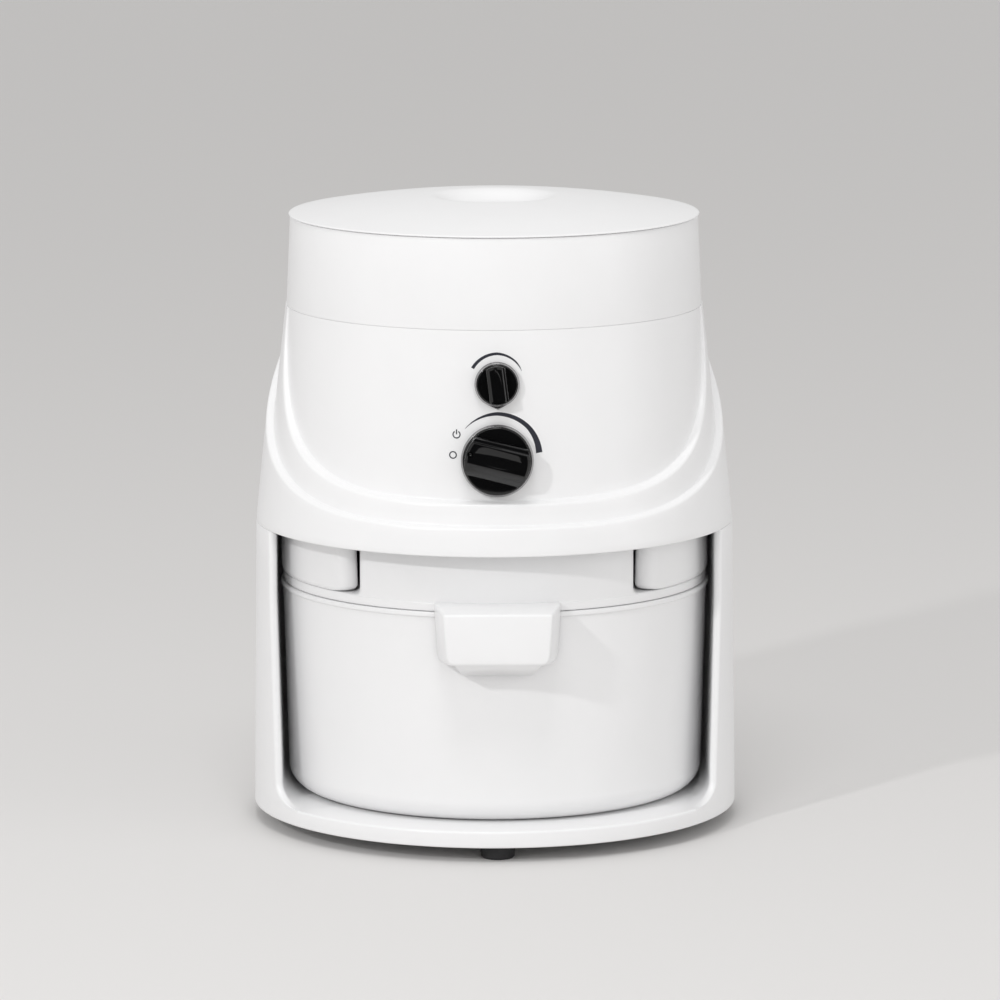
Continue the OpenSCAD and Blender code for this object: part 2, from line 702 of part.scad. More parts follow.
speed_knob_h = 12;
module feed_knob() color([0.05, 0.05, 0.06]) on_panel(feed_z, feed_knob_out)
    knob(feed_knob_r, feed_knob_h, 12.5, feed_grip_a - 90, feed_shaft_r);
module feed_knob_trim() color("silver") on_panel(feed_z, feed_knob_out) rotate_extrude()
    polygon([[feed_knob_r - 1.15, 0], [feed_knob_r, 0], [feed_knob_r, 1.2],
        [feed_knob_r - 1.3, 3], [feed_knob_r - 1.65, 3], [feed_knob_r - 1.35, 1.6]]);
module speed_knob() color([0.05, 0.05, 0.06]) on_panel(speed_z, speed_knob_out)
    knob(speed_knob_r, speed_knob_h, 8.4, speed_grip_a - 90, pot_shaft_r);
module speed_knob_trim() color("silver") on_panel(speed_z, speed_knob_out) rotate_extrude()
    polygon([[speed_knob_r - 1.15, 0], [speed_knob_r, 0], [speed_knob_r, 1.2],
        [speed_knob_r - 1.3, 3], [speed_knob_r - 1.65, 3], [speed_knob_r - 1.35, 1.6]]);

// Feed gate: a disc with a crescent slot turns in front of a round port
gate_w = -46;
feed_turn = 160;
gate_r = 17;
gate_t = 3;
port_off = 10;
port_r = 6.2;
can_r = gate_r + pass_gap + 2.7;
can_front = -26;
can_back = gate_w - pass_gap - 3;
module feed_shaft() color("silver") on_panel(feed_z, gate_w - 0.3)
    cylinder(r = feed_shaft_r - 0.02, h = -gate_w + feed_knob_out + feed_knob_h - 5);
module feed_gate() color([0.8, 0.82, 0.8]) on_panel(feed_z, gate_w) difference() {
    cylinder(r = gate_r, h = gate_t);
    // crescent slot, widest where the gate is fully open
    rotate([0, 0, 90 + feed_turn]) difference() {
        cylinder(r = gate_r - 1.4, h = 20, center = true);
        translate([-5, 0, 0]) cylinder(r = gate_r - 7, h = 30, center = true);
        linear_extrude(40, center = true) polygon([[0, 0],
            [far * cos(122), far * sin(122)], [far * cos(122), -far * sin(122)]]);
    }
    translate([0, 0, -1]) cylinder(r = feed_shaft_r, h = 20);
}
module gate_housing() color([0.82, 0.82, 0.8]) difference() {
    union() {
        on_panel(feed_z, gate_w - pass_gap) cylinder(r = can_r, h = can_front - gate_w + pass_gap);
        translate([0, throat_y, feed_z + 12]) cylinder(r = throat_r + tub_t + 2.6, h = 12.8);
    }
    on_panel(feed_z, gate_w - 2) cylinder(r = gate_r + pass_gap, h = gate_t + 2 + pass_gap);
    on_panel(feed_z, gate_w - pass_gap - 9) cylinder(r = 2 * can_r, h = 9);
    // room for the grain in front of the gate, above the shaft
    intersection() {
        on_panel(feed_z, gate_w) cylinder(r = gate_r - 1, h = can_front - gate_w - 3);
        translate([-far, -far, feed_z + 2.5]) cube([2 * far, 2 * far, far]);
    }
    translate([0, throat_y, feed_z + 8]) cylinder(r = throat_r, h = 60);
    translate([0, throat_y, throat_z - 12 - pass_gap]) cylinder(r = throat_r + tub_t + 0.1, h = 60);
    on_panel(feed_z, -60) cylinder(r = feed_shaft_r + run_fit - 0.02, h = 60);
}

// Point in the panel's frame: ly up the panel from height z, w out of it
function panel_point(z, ly, w) = [0, -panel_r(z) - w * cos(panel_lean) + ly * sin(panel_lean),
    z + w * sin(panel_lean) + ly * cos(panel_lean)];

// Rod between two points of the YZ plane
module rod(a, b, r) {
    d = b - a;
    translate(a) rotate([-atan2(d[1], d[2]), 0, 0]) cylinder(r = r, h = norm(d));
}

module gate_cap() color([0.82, 0.82, 0.8]) on_panel(feed_z, can_back) difference() {
    cylinder(r = can_r, h = gate_w - pass_gap - can_back - 0.02);
    translate([0, 0, -1]) cylinder(r = feed_shaft_r + run_fit - 0.02, h = 10);
    translate([0, port_off, -1]) cylinder(r = port_r, h = 10);
}

// Chute from the gate down into the eye of the milling chamber
chute_r = 8.5;
chute_bore = 6.6;
chute_in = panel_point(feed_z, port_off, can_back - 0.1);
chute_eye = [0, motor_y - inlet_off, motor_base_z + 8];
chute_run = (chute_eye - chute_in) / norm(chute_eye - chute_in) * 8;
chute_start = chute_in - chute_run;
module grain_chute() color([0.86, 0.87, 0.87]) difference() {
    union() {
        rod(chute_start, chute_eye, chute_r);
        translate(chute_eye) sphere(r = chute_r + 0.5);
        translate([0, chute_eye[1], motor_base_z]) cylinder(r = chute_r, h = 8);
    }
    rod(chute_start - chute_run, chute_eye, chute_bore);
    translate(chute_eye) sphere(r = chute_bore + 0.5);
    translate([0, chute_eye[1], motor_base_z - 1]) cylinder(r = chute_bore, h = 9);
    on_panel(feed_z, can_back) translate([-far, -far, 0]) cube([2 * far, 2 * far, far]);
}

cam_w = -15;
cam_r = 9;
module switch_cam() color([0.9, 0.9, 0.86]) on_panel(feed_z, cam_w) difference() {
    union() {
        cylinder(r = cam_r, h = 4);
        cylinder(r = 6, h = 8);
    }
    translate([cam_r * 0.8, -cam_r, -1]) cube([cam_r, 2 * cam_r, 10]);
    translate([0, 0, -2]) cylinder(r = feed_shaft_r, h = 20);
}
module power_switch() color([0.15, 0.15, 0.16]) on_panel(feed_z, cam_w - 1) {
    translate([-10, -cam_r - 1.2 - 16, 0]) cube([20, 16, 6.5]);
    translate([-1.5, -cam_r - 1.2 - eps, 2]) cube([3, 0.9, 2.6]);
    for (x = [-7, 0, 7]) translate([x - 1.5, -cam_r - 21, 2.6]) cube([3, 4, 0.8]);
}
// Speed control: a potentiometer held to the panel by its bush and nut
bush_r = 4.5;
pot_r = 12;
module speed_potentiometer() color([0.6, 0.62, 0.64]) {
    on_panel(speed_z, -15) difference() {
        union() {
            cylinder(r = pot_r, h = 8.5);
            cylinder(r = bush_r, h = 15.6);
            for (x = [-6, 0, 6]) translate([x - 1, -pot_r - 6, 2]) cube([2, 8, 0.8]);
        }
        translate([0, 0, 1]) cylinder(r = pot_shaft_r + run_fit, h = 30);
    }
}
module speed_shaft() color("silver") on_panel(speed_z, -13)
    cylinder(r = pot_shaft_r - 0.02, h = 13 + speed_knob_out + speed_knob_h - 5);
module potentiometer_nut() color("silver") on_panel(speed_z, -5.6) difference() {
    cylinder(r = 8, h = 1.9, $fn = 6);
    translate([0, 0, -1]) cylinder(r = bush_r + 0.05, h = 5);
}

board_gap = 7;
board_w = panel_foot_r - chamber_r - board_gap - 18.8;
board_x = -chamber_r - board_gap - board_w / 2;
board_d = 62;
board_z = deck_z + 6;
module control_board() color([0.1, 0.35, 0.2]) {
    translate([board_x - board_w / 2, -40, board_z]) difference() {
        cube([board_w, board_d, 1.6]);
        for (x = [4, board_w - 4], y = [4, board_d - 4]) translate([x, y, -1])
            cylinder(r = 1.6, h = 4);
    }
    translate([board_x - 8, 6, board_z + 1.6 - eps]) cylinder(r = 7, h = 16);
    translate([board_x + 5, -30, board_z + 1.6 - eps]) cube([10, 14, 12]);
}
module board_heat_sink() color("silver") translate([board_x - 17, -34, board_z + 1.6]) {
    cube([14, 26, 3]);
    for (i = [0:3]) translate([i * 4, 0, 2.9]) cube([2, 26, 12]);
}
module board_standoffs() color("whitesmoke")
    for (x = [4, board_w - 4], y = [4, board_d - 4])
        translate([board_x - board_w / 2 + x, -40 + y, deck_z]) {
            cylinder(r = 3, h = board_z - deck_z);
            cylinder(r = 1.5, h = board_z - deck_z + 3.2);
        }

// ---------------------------------------------------------------- mill

module at_motor(z) { translate([0, motor_y, z]) children(); }
module chamber_body() color("silver") at_motor(deck_z) difference() {
    union() {
        cylinder(r = chamber_r, h = chamber_top_z - deck_z);
        for (a = flange_bolts) rotate([0, 0, a]) translate([flange_bolt_at, 0, 0])
            cylinder(r = 4.2, h = chamber_top_z - deck_z);
    }
    translate([0, 0, chamber_t]) cylinder(r = chamber_r - chamber_t, h = 100);
    translate([0, outlet_y - motor_y, -1]) cylinder(r = outlet_r, h = 20);
    for (a = flange_bolts) rotate([0, 0, a]) translate([flange_bolt_at, 0, 4])
        cylinder(r = 1.6, h = 100);
}
module chamber_cover() color("silver") at_motor(chamber_cover_z) difference() {
    union() {
        cylinder(r = chamber_r, h = lid_plate_t);
        for (a = flange_bolts) rotate([0, 0, a]) translate([flange_bolt_at, 0, 0])
            cylinder(r = 4.2, h = lid_plate_t);
    }
    translate([0, 0, -1]) cylinder(r = seal_r, h = 20);
    translate([0, -inlet_off, -1]) cylinder(r = inlet_r, h = 20);
    for (a = flange_bolts) rotate([0, 0, a]) translate([flange_bolt_at, 0, -1])
        cylinder(r = 1.6, h = 20);
}
module ring_teeth(r0, r1, count, z, h, share = 0.5) {
    w = 2 * PI * (r0 + r1) / 2 / count * share;
    for (i = [0:count - 1]) rotate([0, 0, i * 360 / count])
        translate([r0, -w / 2, z]) cube([r1 - r0, w, h]);
}
head_r = chamber_r - chamber_t - 10;
seal_r = 7;
module rotating_head() color([0.7, 0.71, 0.73]) at_motor(rotor_z) difference() {
    union() {
        cylinder(r = head_r, h = rotor_t);
        cylinder(r = 8, h = rotor_t + tooth_h - 1);
        ring_teeth(head_r - 3.2, head_r - 0.2, head_teeth * 2, rotor_t - eps, tooth_h + eps);
        ring_teeth(head_r - 12.6, head_r - 9.4, head_teeth, rotor_t - eps, tooth_h + eps);
    }
    translate([0, 0, -1]) cylinder(r = motor_shaft_r, h = 40);
}
module stationary_head() color([0.7, 0.71, 0.73]) at_motor(stator_plate_z) difference() {
    union() {
        cylinder(r = chamber_r - chamber_t - pass_gap, h = stator_plate_t);
        ring_teeth(head_r + 1.2, head_r + 4.2, head_teeth * 2 + 12, -tooth_h, tooth_h + eps);
        ring_teeth(head_r - 8, head_r - 4.8, head_teeth + 12, -tooth_h, tooth_h + eps);
    }
    translate([0, 0, -20]) cylinder(r = 9.2, h = 40);
    translate([0, -inlet_off, -20]) cylinder(r = inlet_r, h = 40);
}
module rotor_nut() color("silver") at_motor(rotor_z + rotor_t + tooth_h - 1) difference() {
    cylinder(r = 7, h = 1.6, $fn = 6);
    translate([0, 0, -1]) cylinder(r = motor_shaft_r, h = 10);
}
module shaft_seal() color([0.15, 0.15, 0.16]) at_motor(chamber_cover_z + 0.4)
    tube(seal_r - 0.05, motor_shaft_r + run_fit, lid_plate_t - 0.8);
module discharge_spout() color([0.86, 0.87, 0.87]) translate([0, outlet_y, 0])
    translate([0, 0, skirt_z]) tube(outlet_r + 2, outlet_r, plate_t - 0.05);

// Motor
bearing_h = 7;
bearing_r = 11;
low_bearing_z = motor_base_z + 18;
comm_z = low_bearing_z + bearing_h + 1;
stack_z = comm_z + 13;
fan_z = stack_z + stack_h + 4.5;
up_bearing_z = fan_z + 8.5;
shaft_top_z = up_bearing_z + bearing_h + 0.5;
module motor_shaft() color("silver") at_motor(rotor_z - 0.8)
    cylinder(r = motor_shaft_r - 0.02, h = shaft_top_z - rotor_z + 0.8);
module armature() color([0.45, 0.42, 0.4]) at_motor(stack_z) difference() {
    union() {
        cylinder(r = stack_r * 0.52, h = stack_h);
        for (i = [0:11]) rotate([0, 0, i * 30]) translate([stack_r * 0.3, -1.6, -3.5])
            cube([stack_r * 0.17, 3.2, stack_h + 7]);
        translate([0, 0, -3]) cylinder(r = stack_r * 0.32, h = stack_h + 6);
    }
    translate([0, 0, -20]) cylinder(r = motor_shaft_r, h = 80);
}
comm_r = 10;
module commutator() color([0.72, 0.45, 0.25]) at_motor(comm_z) difference() {
    cylinder(r = comm_r, h = 9.5);
    translate([0, 0, -1]) cylinder(r = motor_shaft_r, h = 20);
    for (i = [0:11]) rotate([0, 0, i * 30]) translate([comm_r - 1, -0.4, -1]) cube([3, 0.8, 9]);
}
module cooling_fan() color([0.2, 0.2, 0.22]) at_motor(fan_z) difference() {
    union() {
        cylinder(r = stack_r - 10, h = 1.6);
        cylinder(r = 8, h = 5);
        for (i = [0:10]) rotate([0, 0, i * 360 / 11]) translate([7, -0.8, 0])
            cube([stack_r - 17.5, 1.6, 4.6]);
    }
    translate([0, 0, -1]) cylinder(r = motor_shaft_r, h = 20);
}
module lower_bearing() color("silver") at_motor(low_bearing_z)
    tube(bearing_r, motor_shaft_r + run_fit - 0.02, bearing_h);
module upper_bearing() color("silver") at_motor(up_bearing_z)
    tube(bearing_r, motor_shaft_r + run_fit - 0.02, bearing_h);
post_at = stack_r - 6;
post_a = [45:90:315];
module lower_end_bell() color([0.6, 0.62, 0.64]) at_motor(low_bearing_z - 1.5) difference() {
    union() {
        cylinder(r = bearing_r + 2.5, h = bearing_h + 1.5);
        for (a = post_a) rotate([0, 0, a]) {
            translate([0, -4, 0]) cube([post_at, 8, 4]);
            translate([post_at, 0, 0]) cylinder(r = 5, h = 4);
        }
    }
    translate([0, 0, 1.5]) cylinder(r = bearing_r + 0.02, h = 20);
    translate([0, 0, -1]) cylinder(r = motor_shaft_r + 1.5, h = 20);
    for (a = post_a) rotate([0, 0, a]) translate([post_at, 0, -1]) cylinder(r = 2.1, h = 20);
}
module upper_end_bell() color([0.6, 0.62, 0.64]) at_motor(stack_z + stack_h) difference() {
    h = up_bearing_z - stack_z - stack_h;
    union() {
        cylinder(r = stack_r, h = h - 4);
        translate([0, 0, h - 4]) cylinder(r1 = stack_r, r2 = bearing_r + 6, h = 4);
        cylinder(r = bearing_r + 2.5, h = h + bearing_h);
    }
    // room for the fan, with a post left at each long screw
    difference() {
        translate([0, 0, -1]) cylinder(r = stack_r - 6, h = h - 3.4);
        for (a = post_a) rotate([0, 0, a]) translate([post_at, 0, -2]) cylinder(r = 4.4, h = h);
    }
    translate([0, 0, -1]) cylinder(r = stack_r - 8.5, h = h - 2);
    for (a = [0:45:315]) rotate([0, 0, a + 22.5]) translate([stack_r - 12, -6, 2])
        cube([20, 12, h - 8]);
    translate([0, 0, h]) cylinder(r = bearing_r + 0.02, h = 20);
    translate([0, 0, -1]) cylinder(r = motor_shaft_r + 1.5, h = 40);
    for (a = post_a) rotate([0, 0, a]) translate([post_at, 0, -1]) cylinder(r = 2.1, h = 40);
}
pole_r = stack_r * 0.52 + 0.6;
module motor_stack() color([0.35, 0.35, 0.37]) at_motor(stack_z) difference() {
    cylinder(r = stack_r, h = stack_h);
    difference() {
        translate([0, 0, -1]) cylinder(r = stack_r - 5, h = stack_h + 2);
        for (s = [-1, 1]) translate([s > 0 ? 0 : -far, -12, -1]) cube([far, 24, stack_h + 2]);
        for (a = post_a) rotate([0, 0, a]) translate([post_at, 0, -1]) cylinder(r = 4.4, h = 60);
    }
    translate([0, 0, -1]) cylinder(r = pole_r, h = stack_h + 2);
    for (a = post_a) rotate([0, 0, a]) translate([post_at, 0, -1]) cylinder(r = 2.1, h = 60);
}
module field_coils() color([0.72, 0.4, 0.2]) at_motor(stack_z - 4) for (s = [0, 180]) rotate([0, 0, s])
    intersection() {
        tube(stack_r - 6.4, pole_r + 0.6, stack_h + 8);
        difference() {
            translate([8, -17, 0]) cube([far, 34, stack_h + 8]);
            translate([0, -12.3, 4 - 0.3]) cube([far, 24.6, stack_h + 0.6]);
            for (a = post_a) rotate([0, 0, a]) translate([post_at, 0, -1]) cylinder(r = 4.8, h = 60);
        }
    }
module brush_holders() color([0.2, 0.2, 0.22]) at_motor(comm_z) for (s = [0, 180]) rotate([0, 0, s + 90])
    difference() {
        translate([comm_r + 1, -4.5, -0.9]) cube([20, 9, 9]);
        translate([comm_r, -3, 1]) cube([30, 6, 5]);
    }
module carbon_brushes() color([0.1, 0.1, 0.1]) at_motor(comm_z) for (s = [0, 180]) rotate([0, 0, s + 90])
    translate([comm_r + 0.05, -2.95, 1.05]) cube([14, 5.9, 4.9]);
module motor_posts() color("silver") at_motor(motor_base_z) for (a = post_a) rotate([0, 0, a])
    translate([post_at, 0, 0]) {
        cylinder(r = 4.4, h = low_bearing_z - 1.5 - motor_base_z);
        cylinder(r = 2, h = up_bearing_z - 3 - motor_base_z + 4);
        translate([0, 0, low_bearing_z + 2.5 - motor_base_z]) cylinder(r = 4.4, h = stack_z - low_bearing_z - 2.5);
    }

base_plate();
rubber_feet();
stand_shell();
housing_floor();
bowl_rails();
upper_housing();
rear_vent_grille();
cord_gland();
hopper_ring();
hopper_tub();
hopper_lid();
flour_bowl();
bowl_cover();
bowl_gasket();
inlet_gasket();
separator_cup();
air_filter();
filter_tray();
feed_knob();
feed_knob_trim();
feed_shaft();
feed_gate();
gate_housing();
gate_cap();
grain_chute();
power_switch();
switch_cam();
speed_knob();
speed_knob_trim();
speed_potentiometer();
potentiometer_nut();
control_board();
board_heat_sink();
board_standoffs();
chamber_body();
chamber_cover();
stationary_head();
rotating_head();
rotor_nut();
shaft_seal();
discharge_spout();
speed_shaft();
motor_shaft();
armature();
commutator();
cooling_fan();
lower_bearing();
upper_bearing();
lower_end_bell();
upper_end_bell();
motor_stack();
field_coils();
brush_holders();
carbon_brushes();
motor_posts();
stand_screws();
base_screws();
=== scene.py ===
"""Electric grain mill: the looks of each piece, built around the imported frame."""
import json
import math
from contextlib import contextmanager

import bmesh
import bpy
from mathutils import Matrix, Vector
from mathutils.geometry import delaunay_2d_cdt


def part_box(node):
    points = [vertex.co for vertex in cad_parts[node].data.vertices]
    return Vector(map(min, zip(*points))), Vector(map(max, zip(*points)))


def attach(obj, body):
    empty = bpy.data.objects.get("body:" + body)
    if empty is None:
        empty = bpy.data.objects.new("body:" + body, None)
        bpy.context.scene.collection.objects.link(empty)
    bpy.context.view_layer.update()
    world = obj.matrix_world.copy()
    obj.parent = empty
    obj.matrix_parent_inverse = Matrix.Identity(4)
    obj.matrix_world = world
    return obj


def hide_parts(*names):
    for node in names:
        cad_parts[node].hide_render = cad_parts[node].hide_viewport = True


bl_info = {
    "name": "Electric Grain Mill",
    "version": (1, 0, 0),
    "blender": (4, 5, 0),
    "location": "View3D > Sidebar > Grain Mill",
    "description": "Models the visible pieces of an electric grain mill around its CAD frame",
    "category": "Add Mesh",
}

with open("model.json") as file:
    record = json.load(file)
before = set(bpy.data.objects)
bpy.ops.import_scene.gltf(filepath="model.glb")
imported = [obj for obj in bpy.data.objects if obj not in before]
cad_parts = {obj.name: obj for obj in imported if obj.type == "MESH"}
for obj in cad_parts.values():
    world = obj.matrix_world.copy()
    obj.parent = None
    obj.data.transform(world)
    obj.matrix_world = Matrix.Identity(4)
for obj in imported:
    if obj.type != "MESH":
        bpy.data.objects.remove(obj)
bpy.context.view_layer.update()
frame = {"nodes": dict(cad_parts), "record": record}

MM = 0.001
SKIRT_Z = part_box("upper_housing")[0].z / MM
SEAM_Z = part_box("hopper_ring")[0].z / MM
MOUTH_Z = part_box("hopper_ring")[1].z / MM
BASE_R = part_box("stand_shell")[1].x / MM
BASE_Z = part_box("stand_shell")[0].z / MM


# ---- modelling helpers

def deselect():
    """Leaves edit mode and empties the selection, so that an operator acts on one piece."""
    if bpy.context.object and bpy.context.object.mode != "OBJECT":
        bpy.ops.object.mode_set(mode="OBJECT")
    bpy.ops.object.select_all(action="DESELECT")


def take(piece):
    """Selects one piece alone and makes it active."""
    deselect()
    piece.select_set(True)
    bpy.context.view_layer.objects.active = piece
    return piece


@contextmanager
def editing(piece):
    """Edit mode with the whole of one piece selected."""
    take(piece)
    bpy.ops.object.mode_set(mode="EDIT")
    bpy.ops.mesh.select_all(action="SELECT")
    yield
    bpy.ops.object.mode_set(mode="OBJECT")


def from_mesh(name, verts, faces, edges=()):
    """A new piece from points in millimetres."""
    mesh = bpy.data.meshes.new(name)
    mesh.from_pydata(*([tuple(item) for item in items] for items in (verts, edges, faces)))
    mesh.update()
    piece = bpy.data.objects.new(name, mesh)
    bpy.context.scene.collection.objects.link(piece)
    return take(piece)


def tidy_mesh(piece, gap=0.001):
    """Merges doubled points and turns all faces outwards."""
    with editing(piece):
        bpy.ops.mesh.remove_doubles(threshold=gap)
        bpy.ops.mesh.normals_make_consistent(inside=False)
    return piece


def modify(piece, kind, **values):
    """Adds one modifier with its values and applies it."""
    take(piece)
    changer = piece.modifiers.new(kind.title(), kind)
    for key, value in values.items():
        setattr(changer, key, value)
    bpy.ops.object.modifier_apply(modifier=changer.name)
    return piece


def cut(piece, *tools, how="DIFFERENCE"):
    """Cuts, joins or meets the piece with other solids, which are then removed."""
    for tool in tools:
        modify(piece, "BOOLEAN", operation=how, solver="EXACT", object=tool)
        bpy.data.objects.remove(tool)
    return piece


def soften(piece, width, segments=3, angle=35.0):
    """Rounds every edge sharper than the angle."""
    return modify(piece, "BEVEL", width=width, segments=segments, limit_method="ANGLE",
                  angle_limit=math.radians(angle), use_clamp_overlap=True, miter_outer="MITER_ARC")


def arc_corner(before, corner, after, radius, steps):
    """Points of the arc that rounds one corner of a flat outline."""
    a, c, b = Vector(before), Vector(corner), Vector(after)
    u, v = (a - c), (b - c)
    half = u.angle(v) / 2
    reach = min(radius / math.tan(half), 0.499 * u.length, 0.499 * v.length)
    radius = reach * math.tan(half)
    u.normalize()
    v.normalize()
    centre = c + (u + v).normalized() * (radius / math.sin(half))
    start, end = c + u * reach - centre, c + v * reach - centre
    turn = start.angle_signed(end)
    return [tuple(centre + Matrix.Rotation(-turn * i / steps, 2) @ start) for i in range(steps + 1)]


def arc(x, y, radius, start, end, steps, first=0):
    """Points along an arc about a centre, from one angle to another."""
    angles = [start + (end - start) * i / steps for i in range(first, steps + 1)]
    return [(x + radius * math.cos(a), y + radius * math.sin(a)) for a in angles]


def rounded(outline, steps=5, closed=False):
    """Outline of (x, y, radius) with every corner of a radius turned into an arc."""
    points = []
    count = len(outline)
    for i, (x, y, radius) in enumerate(outline):
        inner = closed or 0 < i < count - 1
        if radius > 0 and inner:
            before, after = outline[i - 1][:2], outline[(i + 1) % count][:2]
            points += arc_corner(before, (x, y), after, radius, steps)
        else:
            points.append((x, y))
    return points


def lathe(name, outline, steps=160, corner=5, closed=True):
    """Spins an outline of (radius, height, corner radius) about the upright axis."""
    points = rounded(outline, corner)
    if closed and points[0][0] > 1e-6:
        points.append(points[0])
    verts = [(r, 0, z) for r, z in points]
    piece = from_mesh(name, verts, [], [(i, i + 1) for i in range(len(verts) - 1)])
    with editing(piece):
        bpy.ops.mesh.spin(steps=steps, angle=math.tau, center=(0, 0, 0), axis=(0, 0, 1))
    return tidy_mesh(piece)


def prism(name, outline, low, high, corner=5):
    """Upright block over a flat outline of (x, y, corner radius)."""
    points = rounded(outline, corner, closed=True)
    count = len(points)
    verts = [(x, y, low) for x, y in points] + [(x, y, high) for x, y in points]
    faces = [range(count), range(count, 2 * count)]
    faces += [(i, (i + 1) % count, (i + 1) % count + count, i + count) for i in range(count)]
    return tidy_mesh(from_mesh(name, verts, faces))


def turn(piece, matrix):
    """Applies a placement to the points of a piece."""
    piece.data.transform(matrix)
    piece.data.update()
    return piece


def rows_of(name, rows, caps=True):
    """Skin through rows of points that all have the same count, each row a closed loop."""
    count = len(rows[0])
    verts = [p for row in rows for p in row]
    faces = []
    for k in range(len(rows) - 1):
        for i in range(count):
            j = (i + 1) % count
            faces.append((k * count + i, k * count + j, (k + 1) * count + j, (k + 1) * count + i))
    if caps:
        faces += [range(count), range((len(rows) - 1) * count, len(rows) * count)]
    return tidy_mesh(from_mesh(name, verts, faces))


def join(name, pieces):
    """Makes several solids into one piece."""
    take(pieces[0])
    for piece in pieces[1:]:
        piece.select_set(True)
    bpy.ops.object.join()
    pieces[0].name = name
    return pieces[0]


def settle(piece, body, slot, replaces=(), smooth=35.0, finish=""):
    """Brings a finished piece to metres, paints it and seats it on its body."""
    take(piece)
    piece.data.transform(Matrix.Scale(MM, 4))
    piece.data.materials.clear()
    piece.data.materials.append(FINISH[finish or slot])
    bpy.ops.object.shade_smooth_by_angle(angle=math.radians(smooth))
    for changer in list(piece.modifiers):
        bpy.ops.object.modifier_apply(modifier=changer.name)
    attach(piece, body)
    if replaces:
        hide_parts(*replaces)
    return piece


def settle_shell(piece, body, node):
    """Seats a white moulded piece in the place of one node."""
    return settle(piece, body, "white_shell", [node], smooth=40.0)


# ---- finishes

def effect(name, **extras):
    """A node group that turns a colour and a gloss into the look of a surface."""
    tree = bpy.data.node_groups.new(name, "ShaderNodeTree")
    inputs = {"Color": (0.8, 0.8, 0.8, 1), "Gloss": 0.3, "Gloss Spread": 0.1}
    inputs.update({label.replace("_", " ").title(): value for label, value in extras.items()})
    for label, value in inputs.items():
        kind = "NodeSocketColor" if label == "Color" else "NodeSocketFloat"
        tree.interface.new_socket(label, in_out="INPUT", socket_type=kind).default_value = value
    for label, kind in (("Color", "Color"), ("Roughness", "Float"), ("Height", "Float")):
        tree.interface.new_socket(label, in_out="OUTPUT", socket_type="NodeSocket" + kind)
    return tree, tree.nodes.new("NodeGroupInput"), tree.nodes.new("NodeGroupOutput")


def add(tree, kind, **values):
    """A node of one kind, with plain properties and numbered or named inputs set."""
    node = tree.nodes.new("ShaderNode" + kind)
    for key, value in values.items():
        if key.startswith("in_"):
            label = key[3:].replace("_", " ").title()
            socket = node.inputs[int(key[3:])] if key[3:].isdigit() else node.inputs[label]
            socket.default_value = value
        else:
            setattr(node, key, value)
    return node


def wire(tree, *joins):
    """Links sockets, each join given as a node, its output, the next node and its input."""
    for source, output, target, into in joins:
        tree.links.new(source.outputs[output], target.inputs[into])


def deliver(tree, given, made, tone, patches, relief):
    """Ends an effect: the toned colour, the patchy roughness and the height for bump."""
    mixed = add(tree, "Mix", data_type="RGBA", blend_type="MULTIPLY", in_0=1.0)
    rough = add(tree, "Math", operation="MULTIPLY_ADD")
    wire(tree, (given, "Color", mixed, 6), (tone, 0, mixed, 7), (mixed, 2, made, "Color"),
         (patches, "Fac", rough, 0), (given, "Gloss Spread", rough, 1), (given, "Gloss", rough, 2),
         (rough, 0, made, "Roughness"), (relief, "Fac", made, "Height"))
    return tree


def moulded_effect():
    """Fine skin of moulded plastic: slight mottling, uneven gloss and a shallow grain."""
    tree, given, made = effect("Moulded Skin", mottle=0.02, scale=900.0)
    place = add(tree, "TexCoord")
    broad = add(tree, "TexNoise", in_scale=38.0, in_detail=3.0)
    fine = add(tree, "TexNoise", in_detail=2.0, in_roughness=0.6)
    less = add(tree, "Math", operation="SUBTRACT", in_0=1.0)
    shift = add(tree, "MapRange", in_1=0.3, in_2=0.7, in_4=1.0)
    wire(tree, (place, "Object", broad, "Vector"), (place, "Object", fine, "Vector"),
         (given, "Scale", fine, "Scale"), (broad, "Fac", shift, "Value"),
         (given, "Mottle", less, 1), (less, 0, shift, "To Min"))
    return deliver(tree, given, made, shift, broad, fine)


def turned_effect():
    """Rings left by a lathe about an upright axis, with a soft unevenness over them."""
    tree, given, made = effect("Turned Metal", rings=1400.0, centre_y=0.0)
    place = add(tree, "TexCoord")
    split = add(tree, "SeparateXYZ")
    off = add(tree, "Math", operation="SUBTRACT")
    flat, spread = add(tree, "CombineXYZ"), add(tree, "CombineXYZ")
    far = add(tree, "VectorMath", operation="LENGTH")
    rings = add(tree, "TexNoise", in_detail=3.0, in_roughness=0.65)
    cloud = add(tree, "TexNoise", in_scale=60.0, in_detail=2.0)
    tone = add(tree, "MapRange", in_1=0.25, in_2=0.75, in_3=0.86, in_4=1.04)
    wire(tree, (place, "Object", split, 0), (split, 1, off, 0), (given, "Centre Y", off, 1),
         (split, 0, flat, 0), (off, 0, flat, 1), (flat, 0, far, 0), (far, "Value", spread, 0),
         (split, 2, spread, 2), (spread, 0, rings, "Vector"), (given, "Rings", rings, "Scale"),
         (place, "Object", cloud, "Vector"), (rings, "Fac", tone, "Value"))
    return deliver(tree, given, made, tone, cloud, rings)


